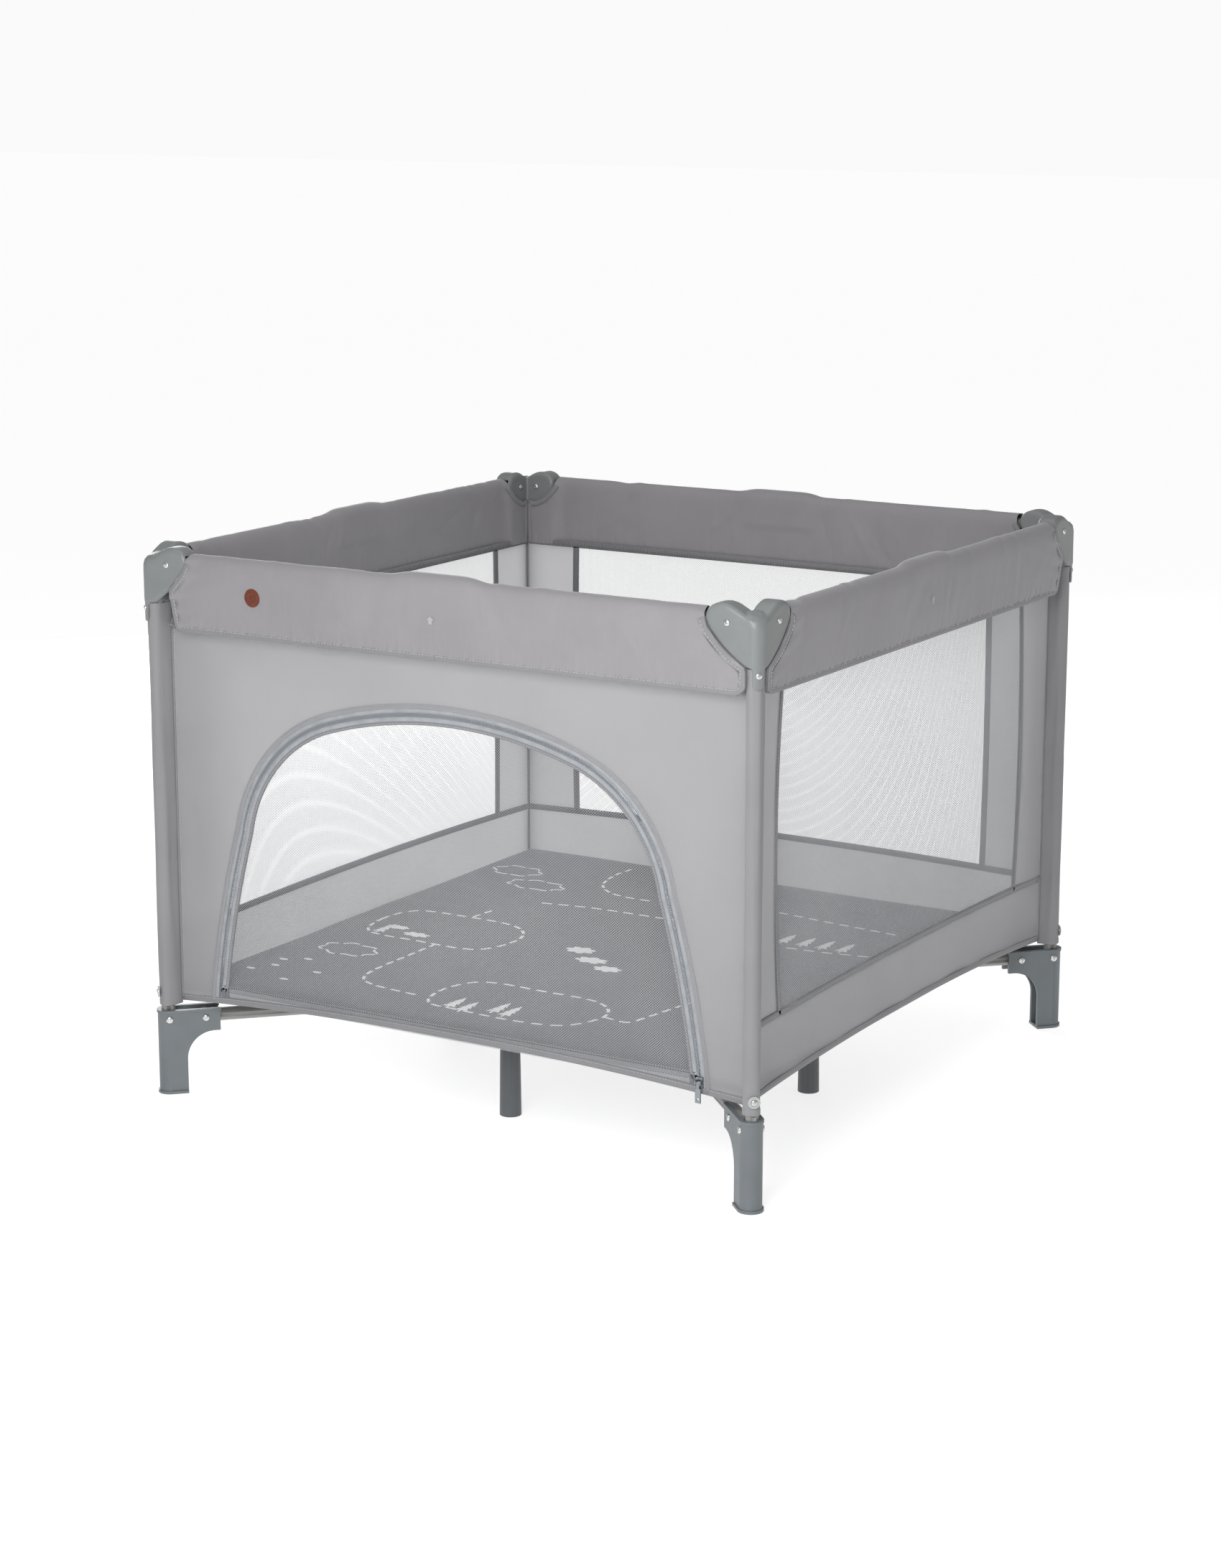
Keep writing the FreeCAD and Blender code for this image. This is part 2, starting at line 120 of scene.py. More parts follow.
studio_world(0.955, 0.42)
area_light("key", (0.62, -1.95, 1.25), (0.15, -0.45, 0.42), 0.9, 27)
area_light("rear", (-2.6, 2.4, 0.75), (0, 0, 0.42), 1.8, 62)
area_light("top", (-0.4, -0.3, 3.4), (0, 0, 0.3), 2.5, 20)


# ---------------------------------------------------------------- materials


def linear(colour):
    """A linear colour from 0-255 display values."""
    return tuple(((c / 255 + 0.055) / 1.055) ** 2.4 for c in colour)


class Finish:
    """A node material: a base colour that two noises vary, a roughness, and bump layers."""

    def __init__(self, name, colour, roughness, metallic=0.0, sheen=0.0, coat=0.0):
        self.material = bpy.data.materials.new(name)
        self.material.use_nodes = True
        self.tree = self.material.node_tree
        self.shader = self.tree.nodes["Principled BSDF"]
        self.colour, self.roughness = linear(colour), roughness
        base = (*self.colour, 1)
        for socket, value in (("Base Color", base), ("Roughness", roughness), ("Metallic", metallic),
                              ("Sheen Weight", sheen), ("Sheen Roughness", 0.4), ("Coat Weight", coat),
                              ("Coat Roughness", 0.25)):
            self.shader.inputs[socket].default_value = value
        self.place = self.node("ShaderNodeTexCoord").outputs["Object"]
        self.material.diffuse_color = base
        self.normal = None

    def node(self, kind, **values):
        made = self.tree.nodes.new(kind)
        for key, value in values.items():
            setattr(made, key, value)
        return made

    def link(self, output, socket):
        self.tree.links.new(output, socket)

    def noise(self, scale, detail=3.0, stretch=(1, 1, 1)):
        place = self.place
        if stretch != (1, 1, 1):
            mapping = self.node("ShaderNodeMapping")
            mapping.inputs["Scale"].default_value = stretch
            self.link(place, mapping.inputs["Vector"])
            place = mapping.outputs["Vector"]
        noise = self.node("ShaderNodeTexNoise")
        noise.inputs["Scale"].default_value = scale
        noise.inputs["Detail"].default_value = detail
        self.link(place, noise.inputs["Vector"])
        return noise.outputs["Fac"]

    def wave(self, direction, scale):
        wave = self.node("ShaderNodeTexWave", bands_direction=direction)
        wave.inputs["Scale"].default_value = scale
        wave.inputs["Distortion"].default_value = 0.0
        self.link(self.place, wave.inputs["Vector"])
        return wave.outputs["Fac"]

    def math(self, operation, first, second):
        made = self.node("ShaderNodeMath", operation=operation)
        for socket, value in zip(made.inputs, (first, second)):
            if isinstance(value, (int, float)):
                socket.default_value = value
            else:
                self.link(value, socket)
        return made.outputs["Value"]

    def vary_colour(self, fac, low, high):
        """The base colour times a factor from low to high as fac goes over its middle range."""
        ramp = self.node("ShaderNodeValToRGB")
        for element, factor, position in zip(ramp.color_ramp.elements, (low, high), (0.3, 0.7)):
            element.position = position
            element.color = (*[min(1, c * factor) for c in self.colour], 1)
        self.link(fac, ramp.inputs["Fac"])
        self.link(ramp.outputs["Color"], self.shader.inputs["Base Color"])
        return self

    def vary_roughness(self, fac, spread):
        spread_out = self.node("ShaderNodeMapRange")
        spread_out.inputs["To Min"].default_value = self.roughness - spread
        spread_out.inputs["To Max"].default_value = self.roughness + spread
        self.link(fac, spread_out.inputs["Value"])
        self.link(spread_out.outputs["Result"], self.shader.inputs["Roughness"])
        return self

    def bump(self, height, strength, distance):
        """One more bump layer; distance is its depth in millimetres."""
        bump = self.node("ShaderNodeBump")
        bump.inputs["Strength"].default_value = strength
        bump.inputs["Distance"].default_value = distance * MM
        self.link(height, bump.inputs["Height"])
        if self.normal:
            self.link(self.normal, bump.inputs["Normal"])
        self.normal = bump.outputs["Normal"]
        self.link(self.normal, self.shader.inputs["Normal"])
        return self


def wave_scale(pitch):
    """The wave node's scale for bands at a pitch in millimetres."""
    return 2 * math.pi / (pitch * MM) / 20


def woven(name, colour, roughness=0.72, sheen=0.25, pitch=0.9, glow=0.0):
    """Plain-woven cloth: two crossing thread directions, slubs, and soft tone changes. glow is the share
    of light that passes through thin cloth."""
    cloth = Finish(name, colour, roughness, sheen=sheen)
    threads = wave_scale(pitch)
    crossing = cloth.math("MULTIPLY", cloth.math("ADD", cloth.wave("X", threads), cloth.wave("Y", threads)),
                          cloth.wave("Z", threads))
    slubs = cloth.noise(260, 2, (1, 1, 0.15))
    tone = cloth.math("ADD", cloth.math("MULTIPLY", cloth.noise(9), 0.75),
                      cloth.math("MULTIPLY", slubs, 0.25))
    cloth.vary_colour(tone, 0.93, 1.06).vary_roughness(slubs, 0.06)
    cloth.bump(cloth.noise(38, 4), 0.25, 1.2)
    cloth.bump(crossing, 0.35, 0.15)
    if glow:
        behind = cloth.node("ShaderNodeBsdfTranslucent")
        behind.inputs["Color"].default_value = (*[min(0.92, c * 2.2) for c in cloth.colour], 1)
        mix = cloth.node("ShaderNodeMixShader")
        mix.inputs["Fac"].default_value = glow
        cloth.link(cloth.shader.outputs["BSDF"], mix.inputs[1])
        cloth.link(behind.outputs["BSDF"], mix.inputs[2])
        cloth.link(mix.outputs["Shader"], cloth.tree.nodes["Material Output"].inputs["Surface"])
    return cloth.material


def moulded(name, colour, roughness, grain=900):
    """Moulded plastic or powder coat with a fine grain and faint handling marks."""
    part = Finish(name, colour, roughness, coat=0.12)
    part.vary_colour(part.noise(30, 5), 0.94, 1.05).vary_roughness(part.noise(120, 4), 0.07)
    return part.bump(part.noise(grain, 2), 0.22, 0.12).material


def steel(name, colour, roughness):
    metal = Finish(name, colour, roughness, metallic=1.0)
    metal.vary_colour(metal.noise(180, 4), 0.85, 1.0).vary_roughness(metal.noise(420, 3), 0.08)
    return metal.bump(metal.noise(900, 2), 0.15, 0.05).material


def ribbed(name, colour, pitch, roughness=0.7):
    """Woven tape with ribs across it."""
    tape = Finish(name, colour, roughness, sheen=0.2)
    ribs = tape.math("ADD", tape.wave("X", wave_scale(pitch)), tape.wave("Z", wave_scale(pitch)))
    tape.vary_colour(tape.noise(70, 3), 0.88, 1.08)
    return tape.bump(ribs, 0.5, 0.25).material


CASTING = moulded("casting_plastic", (117, 120, 120), 0.42)
FOOT = moulded("foot_plastic", (102, 108, 111), 0.5)
LOCK = moulded("lock_plastic", (112, 116, 116), 0.5)
DARK = moulded("dark_plastic", (80, 84, 87), 0.5)
TUBE = moulded("grey_tube", (142, 142, 139), 0.36, 600)
SCREW = steel("screw_steel", (215, 215, 213), 0.22)
WASHER = moulded("washer_plastic", (168, 173, 170), 0.45)
WALL_CLOTH = woven("wall_fabric", (170, 170, 171), glow=0.6)
SLEEVE_CLOTH = woven("sleeve_fabric", (146, 145, 148), glow=0.2)
COVER_CLOTH = woven("cover_fabric", (134, 132, 135), 0.66, 0.3)
BINDING = woven("binding_tape", (124, 124, 127), 0.75, 0.2, 1.1)
THREAD = woven("thread", (184, 184, 186), 0.7, 0.1, 0.5)
NET_YARN = woven("net_yarn", (222, 224, 228), 0.6, 0.1, 0.5, glow=0.5)
NET_YARN_DARK = woven("net_binding", (106, 108, 113), 0.7, 0.15, 0.7)
MAT_CLOTH = woven("mat_fabric", (112, 114, 120), 0.8, 0.15, 0.7)
PRINT = woven("mat_print", (250, 250, 250), 0.65, 0.05, 0.7)
FAINT_PRINT = woven("cover_print", (158, 158, 160), 0.6, 0.1, 0.7)
WEB = ribbed("strap_web", (70, 71, 74), 1.6)
ZIP_TAPE = ribbed("zip_tape", (150, 154, 159), 1.2)
ZIP_COIL = moulded("zip_coil", (138, 141, 146), 0.35)
ZIP_METAL = steel("zip_metal", (150, 155, 158), 0.38)
leather = Finish("leather", (98, 40, 15), 0.62)
leather.vary_colour(leather.noise(160, 5), 0.8, 1.1).vary_roughness(leather.noise(300), 0.08)
LEATHER = leather.bump(leather.noise(700, 4), 0.4, 0.2).material


# ---------------------------------------------------------------- mesh helpers


def mesh_object(name, points, faces, material, quarter=0, smooth=True, mirror=False):
    """A mesh from millimetre points of the front side's frame, turned to its own side."""
    points = np.asarray(points, float).copy()
    if mirror:
        points[:, 0] *= -1
        faces = flipped(faces)
    mesh = bpy.data.meshes.new(name)
    mesh.from_pydata((points * MM).tolist(), [], [tuple(map(int, face)) for face in faces])
    mesh.transform(quarter_turn(quarter))
    mesh.polygons.foreach_set("use_smooth", [smooth] * len(mesh.polygons))
    mesh.materials.append(material)
    mesh.update()
    made = bpy.data.objects.new(name, mesh)
    bpy.context.scene.collection.objects.link(made)
    return made


def front(u, w, z):
    """Points of the front side from along, outwards and up."""
    u, w, z = np.broadcast_arrays(u, w, z)
    return np.stack([u, -w, z], -1).reshape(-1, 3)


class Bundle:
    """Points and faces of several meshes that become one object."""

    def __init__(self):
        self.points, self.faces, self.count = [], [], 0

    def add(self, points, faces):
        self.points.append(np.asarray(points, float))
        self.faces += [tuple(index + self.count for index in face) for face in faces]
        self.count += len(points)
        return self

    def mesh(self):
        return np.concatenate(self.points), self.faces

    def object(self, name, material, quarter=0, **options):
        return mesh_object(name, *self.mesh(), material, quarter, **options)


def quarter_turn(quarter):
    return Matrix.Rotation(quarter * math.pi / 2, 4, "Z")


def around(rings, spokes):
    """Points on rings about the Z axis, each ring given as (radius, z)."""
    angle = np.linspace(0, 2 * math.pi, spokes, endpoint=False)
    x, y = np.cos(angle), np.sin(angle)
    return np.concatenate([np.stack([r * x, r * y, np.full(spokes, float(z))], -1) for r, z in rings])


def flipped(faces):
    return [face[::-1] for face in faces]


def tube_faces(rows, columns):
    """Faces of a tube whose rings are the rows of a grid of points, with both ends closed."""
    caps = [tuple(range(columns))[::-1], tuple(range((rows - 1) * columns, rows * columns))]
    return grid_faces(rows, columns, wrap_columns=True) + caps


def slab_faces(rows, columns):
    """Faces between two equal grids of points, one after the other, with their rims joined."""
    off = rows * columns
    faces = grid_faces(rows, columns, flip=True)
    faces += [tuple(index + off for index in face) for face in grid_faces(rows, columns)]
    grid = np.arange(off).reshape(rows, columns)
    rim = np.concatenate([grid[0], grid[1:, -1], grid[-1, -2::-1], grid[-2:0:-1, 0]])
    return faces + [(a, b, b + off, a + off) for a, b in zip(rim, np.roll(rim, -1))]


def grid_faces(rows, columns, wrap_columns=False, wrap_rows=False, flip=False):
    faces = []
    for row in range(rows if wrap_rows else rows - 1):
        for column in range(columns if wrap_columns else columns - 1):
            r, c = (row + 1) % rows, (column + 1) % columns
            face = (row * columns + column, row * columns + c, r * columns + c, r * columns + column)
            faces.append(face[::-1] if flip else face)
    return faces


def sweep(path, sides, ups, profile):
    """A closed tube of a given profile of (side, up) offsets along a path, with capped ends."""
    path, sides, ups, profile = (np.asarray(item, float) for item in (path, sides, ups, profile))
    points = (path[:, None] + sides[:, None] * profile[None, :, :1] + ups[:, None] * profile[None, :, 1:])
    return points.reshape(-1, 3), tube_faces(len(path), len(profile))


def flat_profile(low, high, back, top, corner=0.6):
    """A strip's section from low to high across and from back to top in height, its top edges eased."""
    c = corner
    return ((low, back), (high, back), (high, top - c), (high - c, top), (low + c, top), (low, top - c))


def path_frame(curve):
    """Unit directions along a plane curve of (u, z) points and, to its left, across it."""
    curve = np.asarray(curve, float)
    along = np.gradient(curve, axis=0)
    along /= np.linalg.norm(along, axis=1)[:, None]
    across = np.stack([-along[:, 1], along[:, 0]], -1)
    return along, across


def wall_strip(curve, offsets, heights, plane=WALL, corner=0.5):
    """A strip on a wall's outside that follows a (u, z) curve. offsets are across it, to its left."""
    curve = np.asarray(curve, float)
    _, across = path_frame(curve)
    plane = np.broadcast_to(plane, len(curve))
    path = front(curve[:, 0], plane, curve[:, 1])
    sides = np.stack([across[:, 0], np.zeros(len(curve)), across[:, 1]], -1)
    ups = np.tile((0.0, -1.0, 0.0), (len(curve), 1))
    return sweep(path, sides, ups, flat_profile(*offsets, *heights, corner))


def resample(curve, step):
    """Even points along a polyline."""
    curve = np.asarray(curve, float)
    lengths = np.concatenate([[0], np.cumsum(np.linalg.norm(np.diff(curve, axis=0), axis=1))])
    count = max(2, int(round(lengths[-1] / step)) + 1)
    at = np.linspace(0, lengths[-1], count)
    return np.stack([np.interp(at, lengths, curve[:, k]) for k in range(curve.shape[1])], -1)


def smooth_curve(points, closed=False, steps=10):
    """A Catmull-Rom curve through a few points."""
    points = np.asarray(points, float)
    count = len(points)
    out = []
    for start in range(count if closed else count - 1):
        if closed:
            a, b, c, d = (points[(start + k - 1) % count] for k in range(4))
        else:
            a, b, c, d = (points[min(max(start + k - 1, 0), count - 1)] for k in range(4))
        t = np.linspace(0, 1, steps, endpoint=False)[:, None]
        out.append(0.5 * (2 * b + (c - a) * t + (2 * a - 5 * b + 4 * c - d) * t**2
                          + (3 * b - a - 3 * c + d) * t**3))
    if not closed:
        out.append(points[-1:])
    return np.concatenate(out)


def stitches(curve, lift, inset=0.0, gap=1.6, width=0.6, plane=WALL):
    """Thread stitches on a wall's outside along a (u, z) curve, lifted over a cloth at the given plane."""
    planes = np.broadcast_to(plane, len(curve))
    fine = resample(np.column_stack([curve, planes]), 1.0)
    curve, planes = fine[:, :2], fine[:, 2] + lift
    _, across = path_frame(curve)
    made = Bundle()
    for start in np.arange(2, len(curve) - STITCH - 2, STITCH + gap):
        a, b = int(start), int(start + STITCH)
        ends = curve[[a, b]] + across[[a, b]] * inset
        half = across[a] * width / 2
        rim = [(ends[0] - half, planes[a]), (ends[0] + half, planes[a]), (ends[1] + half, planes[b]),
               (ends[1] - half, planes[b])]
        crest = [(ends[0] * 0.8 + ends[1] * 0.2, planes[a] + width * 0.7),
                 (ends[0] * 0.2 + ends[1] * 0.8, planes[b] + width * 0.7)]
        made.add([front(p[0], w, p[1])[0] for p, w in rim + crest],
                 [(0, 1, 2, 3), (1, 0, 4), (3, 2, 5), (0, 3, 5, 4), (2, 1, 4, 5)])
    return made.mesh()


def creases(u, z, count, seed, width=6.0, size=1.3, box=(-440, 440, 130, 760)):
    """Height of a number of soft straight creases, from a seeded draw."""
    draw = np.random.default_rng(seed)
    total = np.zeros(np.broadcast(u, z).shape)
    for _ in range(count):
        cu, cz = draw.uniform(box[0], box[1]), draw.uniform(box[2], box[3])
        angle = draw.normal(math.pi / 2, 0.5)
        long, wide = draw.uniform(18, 60), width * draw.uniform(0.7, 1.8)
        along = (u - cu) * math.cos(angle) + (z - cz) * math.sin(angle)
        over = -(u - cu) * math.sin(angle) + (z - cz) * math.cos(angle)
        total = total + draw.choice((-1, 1)) * size * draw.uniform(0.3, 1) * np.exp(
            -(over / wide) ** 2 - (along / long) ** 2)
    return total


def apply_modifiers(piece):
    """Replace a piece's mesh with its modified mesh."""
    bpy.context.view_layer.update()
    seen = piece.evaluated_get(bpy.context.evaluated_depsgraph_get())
    mesh = bpy.data.meshes.new_from_object(seen)
    piece.modifiers.clear()
    piece.data = mesh


def sharpen(mesh, angle):
    """Sharp edges above an angle in degrees."""
    mesh.set_sharp_from_angle(angle=math.radians(angle))


def solidify(piece, thickness):
    layer = piece.modifiers.new("thickness", "SOLIDIFY")
    layer.thickness = thickness * MM
    layer.offset = 0
    apply_modifiers(piece)
    sharpen(piece.data, 55)
    return piece


def ride(piece, body):
    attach(piece, body)
    return piece


def ride_wall(piece, quarter, body=None):
    """A wall piece rides on the corner at its left end."""
    ride(piece, body or OWN_CORNER[quarter] + "_corner")
    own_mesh(piece)
    return piece


def sew(name, material, slot, *parts, quarter=0, body=None):
    """One piece on a wall, from several meshes. Thread and zip teeth keep their flat faces."""
    made = Bundle()
    for part in parts:
        made.add(*part)
    made = made.object(name, material, quarter, smooth=material not in (THREAD, ZIP_COIL))
    return ride_wall(made, quarter, body)


def net(outline, plane=WALL, shift=0.0):
    """Straight yarns in two crossing directions, cut to a convex outline of (u, z) points."""
    outline = np.asarray(outline, float)
    made = Bundle()
    for sign in (1, -1):
        way = np.array([math.cos(NET_SLOPE), sign * math.sin(NET_SLOPE)])
        side = np.array([-way[1], way[0]])
        across = outline @ side
        for offset in np.arange(across.min() + 0.4 + shift, across.max(), NET_PITCH):
            hits = []
            for k in range(len(outline)):
                a, b = across[k - 1], across[k]
                if (a - offset) * (b - offset) < 0:
                    point = outline[k - 1] + (outline[k] - outline[k - 1]) * (offset - a) / (b - a)
                    hits.append(point @ way)
            if len(hits) < 2 or max(hits) - min(hits) < 2:
                continue
            ends = [side * offset + way * reach for reach in (min(hits), max(hits))]
            corners = [(0, 0.26), (0.2, -0.13), (-0.2, -0.13)]
            points = [front(end[0] + side[0] * s, plane + up, end[1] + side[1] * s)[0]
                      for end in ends for s, up in corners]
            made.add(points, [(0, 1, 4, 3), (1, 2, 5, 4), (2, 0, 3, 5), (2, 1, 0), (3, 4, 5)])
    return made.mesh()


# ---------------------------------------------------------------- walls


def hem_height(u):
    """Lower edge of a wall, which the floor cloth pulls up in the middle."""
    return 147 - 16 * (np.abs(u) / WALL) ** 2.2


def band_height(u):
    """Seam between the band along the floor and the netting."""
    return 240 - 8 * (np.abs(u) / WALL) ** 2


def window_half(z, quarter, end):
    """Distance of the netting window's edge from the middle, at a height and an end of u. The right wall's
    edges are bowed, the others nearly straight."""
    least, bow = {(1, -1): (361, 14), (1, 1): (348, 10)}.get((quarter, end), (349, 2))
    return least + bow * (1 - ((np.asarray(z, float) - 450) / 215) ** 2)


def ripple(u, z, seed):
    """Soft unevenness of hung cloth."""
    draw = np.random.default_rng(seed)
    total = np.zeros(np.broadcast(u, z).shape)
    for _ in range(5):
        a, b, phase = draw.uniform(0.02, 0.06), draw.uniform(0.004, 0.02), draw.uniform(0, 6.28)
        total = total + 0.28 * np.sin(u * a + z * b * draw.choice((-1, 1)) + phase)
    return total + creases(u, z, 22, seed + 50, 9, 0.9, (-440, 440, 140, 640))


def hem_and_ribs(quarter):
    """Bindings of one wall: its hem, the corner ribs, and the edges round a window."""
    u = np.linspace(-WALL + 1, WALL - 1, 120)
    hem = np.stack([u, hem_height(u)], -1)
    trims = [wall_strip(hem, (0, 9), (-1.7, 1.7), corner=0.8)]
    thread = [stitches(hem, 1.55, 7.2, width=0.7)]
    facing = []
    for end in (-1, 1):
        z = np.linspace(135, 655, 60)
        rib = np.stack([np.full(60, end * SEAM), z], -1)
        trims.append(wall_strip(rib, (-1.6, 1.6), (-1.4, 1.9), corner=0.9))
        thread.append(stitches(rib + (-end * 3.4, 0), 0.75, gap=1.8))
    # The gathered tape inside, where the wall meets the cover.
    trims.append(wall_strip([(-440, COVER_LOW - 2), (440, COVER_LOW - 2)], (0, 10), (-2.4, -0.4)))
    for rib in np.arange(-436, 437, 4.4):
        line = [(rib, COVER_LOW - 1), (rib + 0.8, COVER_LOW + 7)]
        trims.append(wall_strip(line, (-0.8, 0.8), (-3.2, -2.2)))
    if quarter:
        # The window's two upright edges and the seam over the floor band; way is the side the cloth is on.
        z = np.linspace(228, WALL_TOP - 8, 70)
        u = np.linspace(-WALL + 4, WALL - 4, 120)
        edges = [(np.stack([end * window_half(z, quarter, end), z], -1), -end, 9.1) for end in (-1, 1)]
        edges.append((np.stack([u, band_height(u)], -1), -1, 9))
        for edge, way, reach in edges:
            trims.append(wall_strip(edge, sorted((0, 7 * way)), (-1.5, 1.5), corner=0.8))
            facing.append(wall_strip(edge, sorted((0, reach * way)), (-2.4, -1.3), corner=0.4))
            thread.append(stitches(edge, 1.35, 5.6 * way))
        sew(SIDES[quarter] + "_window_facing", NET_YARN_DARK, "mesh_fabric", *facing, quarter=quarter)
    sew(SIDES[quarter] + "_wall_bindings", BINDING, "wall_fabric", *trims, quarter=quarter)
    sew(SIDES[quarter] + "_wall_stitches", THREAD, "wall_fabric", *thread, quarter=quarter)


def panel(low, high, rows, columns, seed):
    """A cloth panel between a lower and an upper curve of (u, z) points with equal numbers."""
    share = np.linspace(0, 1, rows)[:, None, None]
    flat = low[None] * (1 - share) + high[None] * share
    out = ripple(flat[..., 0], flat[..., 1], seed)
    return front(flat[..., 0], WALL + out, flat[..., 1]), grid_faces(rows, columns)


def windowed_wall(quarter):
    """A wall with a cloth band along the floor, a cloth strip at each post, and netting between."""
    side = SIDES[quarter]
    cloth = Bundle()
    u = np.linspace(-WALL, WALL, 181)
    cloth.add(*panel(np.stack([u, hem_height(u) + 1], -1), np.stack([u, band_height(u)], -1), 22, 181,
                     quarter + 3))
    z = np.linspace(STRIP_LOW, WALL_TOP, 91)
    for end in (-1, 1):
        inner = np.stack([end * window_half(z, quarter, end), z], -1)
        outer = np.stack([np.full(91, end * WALL), z], -1)
        first, second = (outer, inner) if end > 0 else (inner, outer)
        cloth.add(*panel(first, second, 18, 91, quarter + 30 + end))
    wall = solidify(cloth.object(f"{side}_wall_cloth", WALL_CLOTH, quarter), 1.1)
    ride_wall(wall, quarter)
    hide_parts(side + "_wall")
    z = np.linspace(STRIP_LOW + 1, WALL_TOP - 4, 24)
    right, left = (np.stack([end * (window_half(z, quarter, end) + 1.5), z], -1) for end in (1, -1))
    outline = np.concatenate([right, left[::-1]])
    netting = sew(f"{side}_netting", NET_YARN, "mesh_fabric", net(outline), quarter=quarter)
    hem_and_ribs(quarter)


def arc(start, end, radius, count):
    """Points of the short arc between two points, bulging to the right of the way from start to end."""
    start, end = np.asarray(start, float), np.asarray(end, float)
    chord = end - start
    length = np.linalg.norm(chord)
    left = np.array([-chord[1], chord[0]]) / length
    centre = (start + end) / 2 + left * math.sqrt(radius**2 - length**2 / 4)
    a = math.atan2(*(start - centre)[::-1])
    b = math.atan2(*(end - centre)[::-1])
    if b < a:
        b += 2 * math.pi
    t = np.linspace(a, b, count)
    return centre + radius * np.stack([np.cos(t), np.sin(t)], -1)


def door_arch(low):
    """The zip's line over the door from its right foot to its left foot, as (u, z) points."""
    foot, shoulder, crown = (377.5, 160), (330, 385), (200, 545)
    half = [np.array([(379.5, low)]), arc(foot, shoulder, 1383, 24), arc(shoulder, crown, 206.4, 16)[1:]]
    top = arc(crown, (-crown[0], crown[1]), 622, 40)[1:-1]
    half = np.concatenate(half)
    return resample(np.concatenate([half, top, (half * (-1, 1))[::-1]]), 6.0)


def strip_on_arch(offsets, heights, corner):
    """A strip beside the zip's line; offsets outwards from the door are positive."""
    return wall_strip(door_arch(ZIP_LOW), (-offsets[1], -offsets[0]), heights, corner=corner)


def zip_teeth(low, outward, shift):
    """One half of the zip's coil: a short tooth every 2.2 mm along its line."""
    curve = resample(door_arch(low), 1.1)
    along, across = path_frame(curve)
    made = Bundle()
    sign = -1 if outward else 1
    for index in range(shift, len(curve) - 1, 2):
        near, far = curve[index] - across[index] * sign * 0.7, curve[index] + across[index] * sign * 2.4
        half = along[index] * 0.5
        ring = []
        for depth in (0.4, 2.2):
            for point in (near - half, near + half, far + half, far - half):
                ring.append(front(point[0], WALL + depth, point[1])[0])
        made.add(ring, tube_faces(2, 4))
    return made.mesh()


def front_side():
    """The front wall's cloth round the arch, the zip, and the netting door."""
    arch = door_arch(138)
    _, across = path_frame(arch)
    edge = (arch - across * 8)[::-1]
    length = np.linalg.norm(np.diff(edge, axis=0), axis=1)
    share = np.concatenate([[0], np.cumsum(length)]) / length.sum()
    outer = resample([(-WALL, HEM_END), (-WALL, WALL_TOP), (WALL, WALL_TOP), (WALL, HEM_END)], 1.0)
    lengths = np.linspace(0, 1, len(outer))
    outer = np.stack([np.interp(share, lengths, outer[:, k]) for k in range(2)], -1)
    outer[0], outer[-1] = (-WALL, HEM_END), (WALL, HEM_END)
    points, faces = panel(edge, outer, 26, len(edge), 11)
    wall = solidify(mesh_object("front_wall_cloth", points, faces, WALL_CLOTH), 1.1)
    ride_wall(wall, 0)
    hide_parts("front_wall")

    sew("front_zip_facing", WALL_CLOTH, "wall_fabric", strip_on_arch((8.2, 14.6), (-0.8, 2.0), 0.8),
        strip_on_arch((10.6, 11.4), (1.8, 2.5), 0.3))
    sew("front_zip_tape", ZIP_TAPE, "wall_fabric", strip_on_arch((2.2, 8.6), (-0.5, 0.9), 0.3))
    thread = [stitches(door_arch(140), 1.8, inset) for inset in (-9.6, -13.0)]
    sew("front_zip_stitches", THREAD, "wall_fabric", *thread)
    sew("front_zip_coil", ZIP_COIL, "zip_metal", zip_teeth(140, True, 0))

    # The part of the door below its fold stays on the wall: a band of double netting over the hem.
    band = [(-372, 144), (372, 144), (373, DOOR_HINGE - 0.4), (-373, DOOR_HINGE - 0.4)]
    sew("front_netting_band", NET_YARN, "mesh_fabric", net(band), net(band, WALL - 0.9, shift=1.28))
    foot = []
    for end in (-1, 1):
        line = [(end * 379.3, 140), (end * 378.4, 150), (end * 377.6, DOOR_HINGE - 0.5)]
        for offsets, heights in (((8, 14), (-1.2, 1.4)), ((2.2, 8), (-0.5, 0.9))):
            foot.append(wall_strip(line, sorted(end * np.array(offsets)), heights))
    sew("front_door_foot", NET_YARN_DARK, "wall_fabric", *foot)
    hem_and_ribs(0)
    door()


